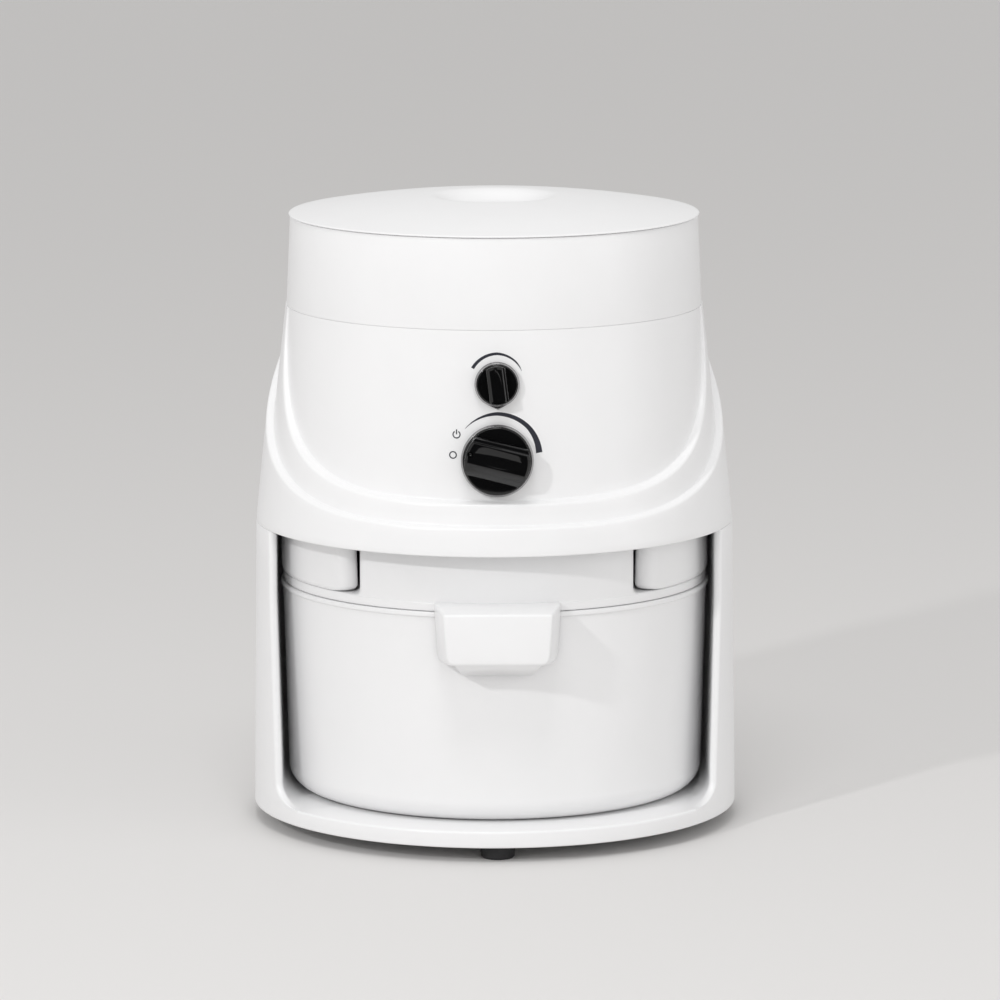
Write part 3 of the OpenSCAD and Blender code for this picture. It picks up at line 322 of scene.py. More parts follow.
def finish_of(name, effect_tree, colour, bump, depth=0.0002, **values):
    """A material whose colour, gloss and bump come from one effect; the rest is constant."""
    material = bpy.data.materials.new(name)
    material.use_nodes = True
    tree = material.node_tree
    shader = tree.nodes["Principled BSDF"]
    skin = tree.nodes.new("ShaderNodeGroup")
    skin.node_tree = effect_tree
    skin.inputs["Color"].default_value = (*colour, 1)
    for key, value in values.items():
        label = key.replace("_", " ").title()
        if label in skin.inputs:
            skin.inputs[label].default_value = value
        else:
            shader.inputs[label].default_value = value
    relief = add(tree, "Bump", in_strength=bump, in_distance=depth)
    wire(tree, (skin, "Color", shader, "Base Color"), (skin, "Roughness", shader, "Roughness"),
         (skin, "Height", relief, "Height"), (relief, 0, shader, "Normal"))
    return material


def plain_finish(name, colour, roughness):
    """An even, matt material for the studio."""
    material = bpy.data.materials.new(name)
    material.use_nodes = True
    shader = material.node_tree.nodes["Principled BSDF"]
    shader.inputs["Base Color"].default_value = (*colour, 1)
    shader.inputs["Roughness"].default_value = roughness
    return material


PLASTICS = (    # slot, name, colour, bump, mottle, grain scale, gloss, gloss spread
    ("white_shell", "Gloss White Shell", (0.88, 0.88, 0.885), 0.03, 0.012, 1400.0, 0.27, 0.05),
    ("grey_plastic", "Grained Pale Plastic", (0.66, 0.665, 0.67), 0.25, 0.05, 1500.0, 0.5, 0.1),
    ("tub_plastic", "Satin Hopper Plastic", (0.72, 0.73, 0.73), 0.1, 0.03, 1100.0, 0.38, 0.08),
    ("soft_seal", "Silicone Seal", (0.55, 0.55, 0.54), 0.15, 0.08, 2000.0, 0.6, 0.1),
    ("foot_rubber", "Foot Rubber", (0.028, 0.028, 0.03), 0.4, 0.25, 1800.0, 0.66, 0.2),
    ("filter_foam", "Filter Foam", (0.02, 0.02, 0.022), 1.0, 0.5, 600.0, 0.9, 0.1),
    ("cord_black", "Gland Black", (0.016, 0.016, 0.017), 0.3, 0.15, 1500.0, 0.5, 0.15),
    ("inner_black", "Moulded Black", (0.022, 0.022, 0.024), 0.3, 0.15, 1200.0, 0.42, 0.12),
    ("knob_black", "Gloss Black Knob", (0.003, 0.003, 0.0033), 0.02, 0.2, 1500.0, 0.06, 0.04),
    ("cream_plastic", "Cream Nylon", (0.66, 0.63, 0.52), 0.15, 0.05, 1200.0, 0.42, 0.1),
    ("board_green", "Solder Mask", (0.008, 0.085, 0.032), 0.2, 0.3, 2200.0, 0.25, 0.1),
    ("carbon", "Pressed Carbon", (0.018, 0.018, 0.019), 0.6, 0.3, 3000.0, 0.55, 0.2),
    ("mark_slate", "Printed Slate", (0.03, 0.032, 0.046), 0.05, 0.1, 2500.0, 0.35, 0.1),
    ("cast_alloy", "Cast Alloy", (0.55, 0.56, 0.58), 0.5, 0.15, 900.0, 0.45, 0.2),
    ("heat_sink_alloy", "Extruded Alloy", (0.62, 0.63, 0.65), 0.2, 0.1, 1600.0, 0.35, 0.15))
METALS = (      # slot, name, colour, bump, rings, gloss, gloss spread
    ("trim_chrome", "Satin Chrome", (0.36, 0.355, 0.36), 0.02, 1400.0, 0.16, 0.08),
    ("steel", "Plated Steel", (0.56, 0.56, 0.57), 0.05, 1400.0, 0.22, 0.16),
    ("milling_steel", "Machined Steel", (0.5, 0.51, 0.52), 0.12, 1400.0, 0.24, 0.2),
    ("lamination_steel", "Laminated Steel", (0.17, 0.17, 0.19), 0.5, 2600.0, 0.45, 0.2),
    ("copper", "Enamelled Copper", (0.5, 0.2, 0.07), 0.6, 1900.0, 0.3, 0.15))
MOTOR_Y = 0.01
EXTRAS = {
    "filter_foam": {"depth": 0.0012}, "cast_alloy": {"metallic": 1.0},
    "heat_sink_alloy": {"metallic": 1.0}, "trim_chrome": {"centre_y": 0.0},
    "copper": {"coat_weight": 0.5, "coat_roughness": 0.2}}


def make_finishes():
    """Every finish of the mill, by its slot."""
    plastic, metal, made = moulded_effect(), turned_effect(), {}
    for slot, name, colour, bump, mottle, scale, gloss, spread in PLASTICS:
        made[slot] = finish_of(name, plastic, colour, bump, **{
            "mottle": mottle, "scale": scale, "gloss": gloss, "gloss_spread": spread,
            **EXTRAS.get(slot, {})})
    for slot, name, colour, bump, rings, gloss, spread in METALS:
        made[slot] = finish_of(name, metal, colour, bump, **{
            "rings": rings, "gloss": gloss, "gloss_spread": spread, "metallic": 1.0,
            "centre_y": MOTOR_Y, **EXTRAS.get(slot, {})})
    return made


FINISH = make_finishes()


# ---- forms of the housing

REF_R = 124.0                 # radius at which the shell is unrolled for its mesh
STAND_TOP_R = BASE_R - 1.9
MID_FOOT_R = STAND_TOP_R - 3.8
PANEL_FOOT_R = MID_FOOT_R - 7.5
PANEL_TILT = math.radians(2.9)
PANEL_LEAN = math.tan(PANEL_TILT)
OUTER_LEAN, MID_LEAN = 0.102, 0.11
SHELL_T, THIN_T = 3.0, 2.5    # walls of the housing, and of the bowl and the lids
RING_FOOT_R = PANEL_FOOT_R - (SEAM_Z - SKIRT_Z) * PANEL_LEAN
SWEEP_START, SWEEP_RUN, SWEEP_RISE = 3.3 - MID_FOOT_R, 105.0, 90.0


def outer_r(z):
    """Radius of the outer terrace at a height."""
    return STAND_TOP_R - OUTER_LEAN * (z - SKIRT_Z)


def mid_r(z):
    """Radius of the middle terrace at a height."""
    return MID_FOOT_R - MID_LEAN * (z - SKIRT_Z)


def panel_r(z):
    """Radius of the innermost form, which carries the controls."""
    return PANEL_FOOT_R - PANEL_LEAN * (z - SKIRT_Z)


def outer_step_z(y):
    """Height of the outer step at a depth."""
    return SKIRT_Z + 15.2 + 46.0 * ((y + STAND_TOP_R - 2) / (STAND_TOP_R - 2)) ** 2


def outer_step_line():
    """The outer step, unrolled, from the front to beyond the seam."""
    line = []
    angle = 0.0
    while not line or line[-1][1] < SEAM_Z + 4:
        z = SKIRT_Z + 15
        for _ in range(8):
            z = outer_step_z(-0.5 * (outer_r(z) + mid_r(z)) * math.cos(angle))
        line.append((REF_R * angle, z))
        angle += math.radians(1.5)
    return line


def inner_step_line():
    """The inner step, unrolled: a quarter ellipse in side view, then straight up."""
    line = []
    first = math.asin((-0.5 * (MID_FOOT_R + PANEL_FOOT_R) + 2.1 - SWEEP_START) / SWEEP_RUN)
    for i in range(61):
        t = first + (math.pi / 2 - first) * i / 60
        y = SWEEP_START + SWEEP_RUN * math.sin(t)
        z = SKIRT_Z + 27.3 + SWEEP_RISE * (1 - math.cos(t))
        turn_to = math.acos(min(1.0, -2 * y / (mid_r(z) + panel_r(z))))
        line.append((REF_R * turn_to, z))
    line[0] = (0.0, line[0][1])
    line += [(line[-1][0], line[-1][1] + 1.5 * i) for i in range(1, 4)]
    return line


def evened(line, gap):
    """The same line with points an even distance apart."""
    runs = [0.0]
    for a, b in zip(line, line[1:]):
        runs.append(runs[-1] + math.dist(a, b))
    count = max(2, round(runs[-1] / gap))
    points, k = [], 0
    for i in range(count + 1):
        at = runs[-1] * i / count
        while k < len(line) - 2 and runs[k + 1] < at:
            k += 1
        share = (at - runs[k]) / (runs[k + 1] - runs[k])
        points.append(tuple(a + (b - a) * share for a, b in zip(line[k], line[k + 1])))
    return points


def step_profile(height, lip, foot, lean=80.0, arcs=4):
    """Points (across, up) over one step: a rounded foot, a leaning riser and a rounded lip."""
    tilt = math.radians(lean)
    lift = 1 - math.cos(tilt)
    shrink = min(1.0, 0.92 * height / ((lip + foot) * lift))
    lip, foot = lip * shrink, foot * shrink
    riser = (height - (lip + foot) * lift) / math.sin(tilt)
    points = [(foot * math.sin(tilt * i / arcs), foot * (1 - math.cos(tilt * i / arcs)))
              for i in range(arcs + 1)]
    x, h = points[-1]
    x, h = x + riser * math.cos(tilt), h + riser * math.sin(tilt)
    points += [(x + lip * (math.sin(tilt) - math.sin(tilt * (1 - i / arcs))),
                h + lip * (math.cos(tilt * (1 - i / arcs)) - math.cos(tilt)))
               for i in range(arcs + 1)]
    middle = points[-1][0] / 2
    return [(x - middle, h) for x, h in points]


class Sweep:
    """One step of the housing as a strip of rows along its unrolled line."""

    def __init__(self, line, high, low, lip, foot):
        self.line = line
        self.high, self.low = high, low
        self.rows = []
        for i, (s, z) in enumerate(line):
            a, b = line[max(0, i - 1)], line[min(len(line) - 1, i + 1)]
            along = Vector((b[0] - a[0], b[1] - a[1])).normalized()
            if i == 0:
                along = Vector((1, 0))
            out = Vector((along.y, -along.x))
            row = []
            for across, up in step_profile(high(z) - low(z), lip, foot):
                at_z = z + out.y * across
                row.append((s + out.x * across, at_z, low(at_z) + up))
            self.rows.append(row)

    def side(self, s, z):
        """Distance from the step's line, positive on its high side."""
        best, value = 1e9, 0.0
        for a, b in zip(self.line, self.line[1:]):
            run = (b[0] - a[0], b[1] - a[1])
            size = run[0] ** 2 + run[1] ** 2
            t = max(0.0, min(1.0, ((s - a[0]) * run[0] + (z - a[1]) * run[1]) / size))
            off = (s - a[0] - run[0] * t, z - a[1] - run[1] * t)
            gap = math.hypot(*off)
            if gap < best:
                best = gap
                value = math.copysign(gap, off[0] * run[1] - off[1] * run[0])
        return value


def ramp(x):
    """Smooth climb from 0 to 1."""
    x = max(0.0, min(1.0, x))
    return x * x * (3 - 2 * x)


def housing_half():
    """Half of the housing's outer skin and its inner wall, unrolled, meshed and rolled up."""
    strip_gap, strip_half, ramp_run = 3.0, 3.4, 5.0
    outer = Sweep(evened(outer_step_line(), strip_gap), outer_r, mid_r, lip=1.5, foot=0.9)
    inner = Sweep(evened(inner_step_line(), strip_gap), mid_r, panel_r, lip=1.7, foot=1.1)
    width, top = REF_R * math.pi, SEAM_Z + 9
    flat, radius, edges = [], [], []

    def place(s, z, r):
        flat.append(Vector((s, z)))
        radius.append(r)
        return len(flat) - 1

    edge_left = []
    for sweep in (outer, inner):
        last = None
        for i, row in enumerate(sweep.rows):
            ids = [place(*p) for p in row]
            edges += list(zip(ids, ids[1:]))
            if last:
                edges += list(zip(last, ids))
            else:
                edge_left += ids
            last = ids

    def plain_r(s, z):
        if inner.side(s, z) < 0:
            return panel_r(z)
        return mid_r(z) if outer.side(s, z) < 0 else outer_r(z)

    def foot_round(z, size=0.7):
        drop = max(0.0, 1 - (z - SKIRT_Z) / size)
        return size * (1 - math.sqrt(max(0.0, 1 - drop * drop)))

    levels = [SKIRT_Z, SKIRT_Z + 0.07, SKIRT_Z + 0.25, SKIRT_Z + 0.7]
    levels += [SKIRT_Z + 4 + 4.55 * i for i in range(25)] + [SEAM_Z, top]
    columns = [width * i / 96 for i in range(97)]
    bottom, left, right, upper = [], [], [], []
    for z in levels:
        for k, s in enumerate(columns):
            near = min(min(math.dist((s, z), p) for p in sweep.line) for sweep in (outer, inner))
            if near < strip_half and z < top:
                continue
            made = place(s, z, plain_r(s, z) - foot_round(z))
            if z == levels[0]:
                bottom.append(made)
            if z == top:
                upper.append(made)
            if k == 0:
                left.append(made)
            if k == len(columns) - 1:
                right.append(made)
    left = sorted(left + edge_left, key=lambda i: flat[i].y)
    for chain in (bottom, upper, left, right):
        edges += list(zip(chain, chain[1:]))
    points, _, faces, origin, _, _ = delaunay_2d_cdt(flat, edges, [], 0, 1e-5)
    skin, wall = [], []
    for p, sources in zip(points, origin):
        s, z = p
        r = radius[sources[0]]
        d1, d2 = outer.side(s, z), inner.side(s, z)
        inside = panel_r(z) - SHELL_T
        inside += (mid_r(z) - panel_r(z)) * ramp((d2 - SHELL_T) / ramp_run + 0.5)
        inside += (outer_r(z) - mid_r(z)) * ramp((d1 - SHELL_T) / ramp_run + 0.5)
        angle = s / REF_R
        skin.append((r * math.sin(angle), -r * math.cos(angle), z))
        wall.append((inside * math.sin(angle), -inside * math.cos(angle), z))
    count = len(points)
    sides = [tuple(f) for f in faces] + [tuple(i + count for i in reversed(f)) for f in faces]
    index = {sources[0]: i for i, sources in enumerate(origin) if sources}
    foot = [index[i] for i in bottom]
    sides += [(b, a, a + count, b + count) for a, b in zip(foot, foot[1:])]
    return from_mesh("upper_housing_shell", skin + wall, sides)


def housing_piece():
    """The terraced housing with its window, cord hole and knob holes."""
    merge, slack = 0.004, 0.2
    half = housing_half()
    with editing(half):
        bpy.ops.mesh.bisect(plane_co=(0, 0, SEAM_Z), plane_no=(0, 0, 1), clear_outer=True)
    modify(half, "MIRROR", use_axis=(True, False, False), merge_threshold=merge)
    with editing(half):
        bpy.ops.mesh.select_non_manifold(extend=False)
        bpy.ops.mesh.bridge_edge_loops()
    shell = tidy_mesh(half, merge)
    low, high = (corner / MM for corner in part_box("rear_vent_grille"))
    window = prism("window", [(low.x - slack, 60, 2), (high.x + slack, 60, 2),
                              (high.x + slack, 160, 2), (low.x - slack, 160, 2)],
                   low.z - slack, high.z + slack)
    low, high = (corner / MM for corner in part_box("cord_gland"))
    eye = turn(bored("gland_eye", 6.2), Matrix.Translation((0, 140, (low.z + high.z) / 2))
               @ Matrix.Rotation(math.radians(90), 4, "X"))
    shafts = [turn(bored("shaft_eye", 4.5), on_panel(z, -12)) for z in (FEED_Z, SPEED_Z)]
    return cut(shell, window, eye, *shafts)


def bored(name, radius, depth=30.0):
    """Round tool for a hole of a radius."""
    return lathe(name, [(0, 0, 0), (radius, 0, 0), (radius, depth, 0), (0, depth, 0)],
                 steps=64, closed=False)


# ---- forms of the stand

BAY_TOP_R = BASE_R - 13.8
BAY_DRAFT, COVE_R, LIP_R = 2.9, 11.0, 2.2
FLOOR_Z = BASE_Z + 9
BEAD_Z = 128.9


def stand_r(z):
    """Outer radius of the stand at a height."""
    return BASE_R - 1.9 * (z - BASE_Z) / (SKIRT_Z - BASE_Z)


def bay_r(z):
    """Radius of the bay wall at a height, with the cove into its floor."""
    wall = BAY_TOP_R - BAY_DRAFT * max(0.0, BEAD_Z - z) / (BEAD_Z - FLOOR_Z)
    low = FLOOR_Z + COVE_R - z
    return wall - COVE_R * (1 - math.sqrt(max(0.0, 1 - (low / COVE_R) ** 2))) if low > 0 else wall


def wall_row(z, shrink=0.0):
    """Outline of the wall round the bay at a height, as a C with rounded ends."""
    big, small = stand_r(z) - shrink, bay_r(z) + shrink
    lip = LIP_R - shrink
    centre = Vector((small + lip, -math.sqrt((big - lip) ** 2 - (small + lip) ** 2)))
    reach = math.atan2(centre.x, -centre.y)
    half = []
    for i in range(49):
        a = math.pi - (math.pi - reach) * i / 48
        half.append((big * math.sin(a), -big * math.cos(a)))
    start = Vector((math.sin(reach), -math.cos(reach)))
    for i in range(1, 11):
        a = math.atan2(start.y, start.x) * (1 - i / 10) - math.pi * i / 10
        half.append((centre.x + lip * math.cos(a), centre.y + lip * math.sin(a)))
    half += [(small, centre.y * (1 - i / 8)) for i in range(1, 9)]
    half += arc(0, 0, small, 0, math.pi / 2, 24, first=1)
    whole = half + [(-x, y) for x, y in reversed(half[1:-1])]
    return [(x, y, z) for x, y in whole]


def stand_piece():
    """Round base, bay wall and the two columns, with soft edges."""
    angles = [math.radians(a) for a in (4, 10, 18, 28, 38, 48, 58, 68, 78, 90)]
    levels = [FLOOR_Z - 2.6, FLOOR_Z] + [FLOOR_Z + COVE_R * (1 - math.cos(a)) for a in angles]
    levels += [45, 70, 95, 115, BEAD_Z, 145]
    rows = [wall_row(z) for z in levels]
    rows += [wall_row(SKIRT_Z - 0.6), wall_row(SKIRT_Z - 0.2, 0.15), wall_row(SKIRT_Z, 0.55)]
    wall = rows_of("stand_wall", rows)
    rim = stand_r(FLOOR_Z) - 0.02
    base = lathe("stand_base", [
        (0, FLOOR_Z, 0), (rim, FLOOR_Z, 1.4), (stand_r(BASE_Z) - 0.02, BASE_Z, 0.9),
        (BASE_R - 3.0, BASE_Z, 0.4), (BASE_R - 3.0, FLOOR_Z - 2.8, 0), (0, FLOOR_Z - 2.8, 0)],
        steps=192, closed=False)
    return cut(wall, base, how="UNION")


# ---- hopper, lid and bowl

MOUTH_R = RING_FOOT_R - 2.2
TUB_RIM_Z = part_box("hopper_tub")[1].z / MM
LID_Z, LID_R, WELL_R = MOUTH_Z + 0.3, MOUTH_R + 0.7, 31.0


def dome_z(r):
    """Height of the lid's dome at a radius."""
    return LID_Z + 10.9 - 10.1 * (r / LID_R) ** 2


def ring_piece():
    """Hopper ring: a plain tapered band with a seat for the tub."""
    inside = MOUTH_R - SHELL_T
    return lathe("hopper_ring_band", [
        (RING_FOOT_R - SHELL_T, SEAM_Z, 0), (RING_FOOT_R, SEAM_Z, 0.5), (MOUTH_R, MOUTH_Z, 0.7),
        (inside, MOUTH_Z, 0.5), (inside, TUB_RIM_Z - 2.4, 0), (inside - 1.8, TUB_RIM_Z - 2.4, 0.3),
        (inside - 1.8, TUB_RIM_Z - 5, 0)], steps=224)


def lid_piece():
    """Domed lid with a dished finger well and the collar that centres it."""
    well_z, flat, edge = dome_z(0) - 7.0, WELL_R - 14.0, WELL_R + 4.0
    outline = [(0, well_z, 0)]
    for i in range(17):
        t = i / 16
        outline.append((flat + (edge - flat) * t,
                        well_z + (dome_z(edge) - well_z) * (1 - math.cos(math.pi * t)) / 2, 0))
    shoulder = [edge + (LID_R - 1.4 - edge) * i / 20 for i in range(1, 21)]
    outline += [(r, dome_z(r), 0) for r in shoulder]
    collar, vault = MOUTH_R - SHELL_T - 4.6 - 0.3, WELL_R + 10
    outline += [(LID_R - 0.4, LID_Z + 0.85, 0), (LID_R, LID_Z + 0.55, 0), (LID_R, LID_Z + 0.25, 0),
                (LID_R - 0.35, LID_Z, 0), (collar, LID_Z, 0), (collar, TUB_RIM_Z + 0.5, 0.5),
                (collar - THIN_T, TUB_RIM_Z + 0.5, 0.5), (collar - THIN_T, LID_Z + 1.2, 0),
                (vault, dome_z(vault) - THIN_T, 0), (flat, well_z - THIN_T, 0),
                (0, well_z - THIN_T, 0)]
    return lathe("hopper_lid_dome", outline, steps=224, closed=False)


BOWL_Z = FLOOR_Z + 0.3
BOWL_RIM_Z = BEAD_Z + 2.9
BEAD_R = BAY_TOP_R - 1.4
BOWL_R = BEAD_R - 1.1


def bowl_piece():
    """Flour bowl with a rolled bead round its rim."""
    low_r = BOWL_R - 3.0
    return lathe("flour_bowl_tub", [
        (0, BOWL_Z, 0), (low_r, BOWL_Z, 12.5), (BOWL_R, BEAD_Z, 0.4), (BEAD_R, BEAD_Z + 0.4, 0.8),
        (BEAD_R, BOWL_RIM_Z, 0.8), (BOWL_R - THIN_T, BOWL_RIM_Z, 0.4),
        (BOWL_R - THIN_T, BEAD_Z, 0), (low_r - THIN_T, BOWL_Z + THIN_T, 10.0),
        (0, BOWL_Z + THIN_T, 0)], steps=224, corner=10, closed=False)


FLANGE_Z = BOWL_RIM_Z + 0.2
FLANGE_TOP_Z = FLANGE_Z + 5.0
FLANGE_R = BEAD_R - 1.3
BOX_R, BOX_HALF, BOX_TOP_Z = FLANGE_R - 0.4, 72.9, FLANGE_TOP_Z + 25.5
OUTLET_Y = (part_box("inlet_gasket")[0].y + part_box("inlet_gasket")[1].y) / 2 / MM
HANDLE_HALF, HANDLE_DROP = 28.8, 28.9
HANDLE_FRONT = BEAD_R + 22.7


def slab_row(half, radius, corner, z):
    """Outline of a disc with two flat sides and rounded corners, at a height."""
    cx = half - corner
    cy = math.sqrt((radius - corner) ** 2 - cx * cx)
    end = math.atan2(cy, cx)
    quarter = [(half, cy * i / 5) for i in range(5)]
    quarter += arc(cx, cy, corner, 0, end, 5)
    quarter += arc(0, 0, radius, end, math.pi / 2, 20, first=1)
    left = [(-x, y) for x, y in reversed(quarter[:-1])]
    upper = quarter + left
    return [(x, y, z) for x, y in upper + [(-x, -y) for x, y in upper[1:-1]]]


def cover_box():
    """Raised box of the bowl cover, flared into its flange."""
    flare = 3.0
    rows = [slab_row(BOX_HALF + flare, BOX_R, 5.0, FLANGE_TOP_Z - 2.0)]
    for i in range(7):
        a = math.pi / 2 * i / 6
        rows.append(slab_row(BOX_HALF + flare * (1 - math.sin(a)), BOX_R, 5.0,
                             FLANGE_TOP_Z + flare * (1 - math.cos(a))))
    rows += [slab_row(BOX_HALF, BOX_R, 5.0, BOX_TOP_Z - 1.0),
             slab_row(BOX_HALF - 0.3, BOX_R - 0.3, 5.0, BOX_TOP_Z - 0.3),
             slab_row(BOX_HALF - 1.0, BOX_R - 1.0, 5.0, BOX_TOP_Z)]
    return rows_of("cover_box", rows)


SIDEWAYS = Matrix(((0, 0, 1, 0), (1, 0, 0, 0), (0, 1, 0, 0), (0, 0, 0, 1)))


def bowl_room(gap):
    """Space that the bowl and the flange take behind the handle."""
    r, inner = BEAD_R + 0.5 - gap, BOX_R - THIN_T + gap
    rise = FLANGE_Z + 1 + gap if inner < r else FLANGE_Z - 1
    return lathe("bowl_room", [(0, 60, 0), (r, 60, 0), (r, rise, 0), (inner, rise, 0),
                               (inner, 190, 0), (0, 190, 0)], steps=224, closed=False)


def cover_handle(inset=0.0):
    """Pull handle: drafted block with soft corners and a sloping wedge underneath."""
    low, top = FLANGE_TOP_Z - HANDLE_DROP + inset, FLANGE_TOP_Z - inset
    front, back = inset - HANDLE_FRONT, -BEAD_R - 0.5
    rows = []
    for y, t in ((front, 0.0), ((front + back) / 2, 0.5), (back, 1.0), (-BOX_R + 18, 1.0)):
        w, foot = HANDLE_HALF + 4.8 * t - inset, HANDLE_HALF - 1.7 + 4.6 * t - inset
        c, z = 4.2 + 1.5 * t, low - 3.5 * t
        half = [(w, top - 1.6 * (1 - t)), (foot + 0.3, z + c + 1)]
        half += arc(foot - c, z + c, c, 0, -math.pi / 2, 8)
        rows.append([(x, y, z) for x, z in half + [(-x, z) for x, z in half[::-1]]])
    block = soften(rows_of("handle_block", rows), 1.3, 3, 40)
    quads, root = [], 23.4 - inset
    for y, w, z in ((front + 1.6, 23.2, low - 0.5), (back, 18.8, low - 9.5),
                    (-BOX_R + 18, 18.8, low - 9.5)):
        quads.append([(root, y, low + 3), (w - inset, y, z), (inset - w, y, z),
                      (-root, y, low + 3)])
    wedge = soften(rows_of("handle_wedge", quads), 0.9, 3, 25)
    return cut(cut(block, wedge, how="UNION"), bowl_room(inset))


def cover_piece():
    """Bowl cover: flange with its plug, raised box and handle, hollow underneath."""
    plug, low = BOWL_R - 3.3, BOWL_RIM_Z - 6.2
    flange = lathe("bowl_cover_lid", [
        (0, FLANGE_TOP_Z - THIN_T, 0), (plug - 4.3, FLANGE_TOP_Z - THIN_T, 0.6),
        (plug - 4.3, low, 0.3),
        (plug, low, 0.5), (plug, low + 1.1, 0), (plug - 1.8, low + 1.1, 0), (plug - 1.8, low + 4.7, 0),
        (plug, low + 4.7, 0), (plug, FLANGE_Z, 0), (FLANGE_R, FLANGE_Z, 0.9),
        (FLANGE_R, FLANGE_TOP_Z, 1.1), (0, FLANGE_TOP_Z, 0)], steps=224, closed=False)
    cut(flange, cover_box(), cover_handle(), how="UNION")
    room = rows_of("box_room", [slab_row(BOX_HALF - THIN_T, BOX_R - THIN_T, 3.0, z)
                                for z in (FLANGE_TOP_Z - 6, BOX_TOP_Z - THIN_T)])
    hollow = cover_handle(inset=3.0)
    eye = turn(bored("outlet_eye", 13.5), Matrix.Translation((0, OUTLET_Y, BOX_TOP_Z - 15)))
    slots = [prism("grid_slot", [(x - 2.2, 34, 2.1), (x + 2.2, 34, 2.1), (x + 2.2, 70, 2.1),
                                 (x - 2.2, 70, 2.1)], BOX_TOP_Z - 9, BOX_TOP_Z + 9)
             for x in range(-28, 29, 7)]
    return cut(flange, room, hollow, eye, *slots)


RAIL_IN, RAIL_R, RAIL_Z = BOX_HALF + 1.3, BEAD_R - 0.3, FLANGE_TOP_Z + 0.3


def rail_row(z, inward, shrink):
    """Outline of the right rail at a height."""
    x0, radius, corner = RAIL_IN + inward, RAIL_R - shrink, 6.5
    cx, back = x0 + corner, 60.0
    cy = -math.sqrt((radius - corner) ** 2 - cx * cx)
    start = math.atan2(cy, cx)
    points = [(x0, back)] + [(x0, back + (cy - back) * i / 6) for i in range(1, 6)]
    points += arc(cx, cy, corner, -math.pi, start, 8)
    end = math.atan2(back, math.sqrt(radius * radius - back * back))
    points += arc(0, 0, radius, start, end, 32, first=1)
    return [(x, y, z) for x, y in points]


def rails_piece():
    """The two blocks that hang from the housing on each side of the cover's box."""
    rows, edge = [], 3.5
    for i in range(6):
        a = math.pi / 2 * i / 5
        rows.append(rail_row(RAIL_Z + edge * (1 - math.cos(a)), edge * (1 - math.sin(a)),
                             1.2 * (1 - math.sin(a))))
    rows.append(rail_row(SKIRT_Z, 0.7, 0))
    rail = rows_of("bowl_rails_pair", rows)
    modify(rail, "MIRROR", use_axis=(True, False, False), use_mirror_merge=False)
    return tidy_mesh(rail)


# ---- controls

FEED_Z, SPEED_Z = SKIRT_Z + 49.7, SKIRT_Z + 90.0


def on_panel(z, out=0.0):
    """Placement on the panel at a height: local Z runs straight out of it, local Y up it."""
    return (Matrix.Translation((0, -panel_r(z), z))
            @ Matrix.Rotation(math.pi / 2 - PANEL_TILT, 4, "X")
            @ Matrix.Translation((0, 0, out)))


FEED_R, SPEED_R = 19.2, 12.0
FEED_GRIP = [(-10.7, 3.0, 0), (-10.3, 9.3, 1.0), (-7.9, 9.7, 0.5), (-7.2, 11.0, 0.8),
             (3.9, 11.0, 0.9), (10.6, 5.4, 1.2), (11.0, 3.0, 0)]
SPEED_GRIP = [(-5.6, 2.5, 0), (-5.2, 7.9, 0.8), (-3.9, 8.4, 0.5), (-3.4, 9.5, 0.7),
              (3.1, 9.5, 0.7), (4.9, 8.0, 0.8), (5.4, 2.5, 0)]


def ball(segments, radius, matrix):
    """A sphere placed and stretched by a matrix."""
    deselect()
    bpy.ops.mesh.primitive_uv_sphere_add(segments=segments, ring_count=segments // 2,
                                         radius=radius)
    return turn(bpy.context.object, matrix)


def knob_piece(name, r, face, section, dish, dot_at):
    """Round knob with a bar grip right across it and a pointer dimple at one end."""
    height = max(z for _, z, _ in section)
    body = lathe(name, [(0, 0, 0), (r - 1.15, 0, 0), (r - 1.2, 1.6, 0.2), (r - 1.5, face, 0.5),
                        (0, face, 0)], steps=128, corner=4, closed=False)
    bar = turn(prism("grip", section, -r, r, corner=5), SIDEWAYS)
    reach = lathe("grip_reach", [(0, 0.6, 0), (r - 1.7, 0.6, 0), (r - 1.9, height - 1.5, 0.8),
                                 (r - 3.6, height + 0.3, 0.8), (0, height + 0.4, 0)],
                  steps=128, closed=False)
    cut(bar, reach, how="INTERSECT")
    soften(bar, 0.3, 3, 50)
    top = [y for y, z, _ in section if z > height - 0.3]
    middle, half = sum(top) / 2, (max(top) - min(top)) / 2 - 0.9
    bowl = ball(128, 1, Matrix.Translation((0, middle, height + 1.86 * dish))
                @ Matrix.Diagonal((r * 0.9, half / 0.76, 2.86 * dish, 1)))
    dot = ball(32, r * 0.085, Matrix.Translation((dot_at, middle * 0.5, height - 0.4)))
    return cut(body, cut(bar, bowl, dot), how="UNION")


def trim_piece(name, r, nub=0.0):
    """Bright ring round the foot of a knob, with a pointer nub on the smaller one."""
    ring = lathe(name, [(r - 1.15, 0, 0), (r, 0, 0), (r, 1.3, 0.35), (r - 0.9, 3.0, 0.25),
                        (r - 1.3, 3.0, 0), (r - 1.2, 1.6, 0)], steps=128)
    if not nub:
        return ring
    half = math.acos(r / nub)
    tip = prism("nub", [(r * math.cos(half), r * math.sin(half), 0), (nub + 0.25, 0, 0.9),
                        (r * math.cos(half), -r * math.sin(half), 0)], 0.1, 1.5)
    eye = turn(bored("nub_eye", r - 0.5), Matrix.Translation((0, 0, -10)))
    return join(name, [ring, soften(cut(tip, eye), 0.25, 2, 40)])


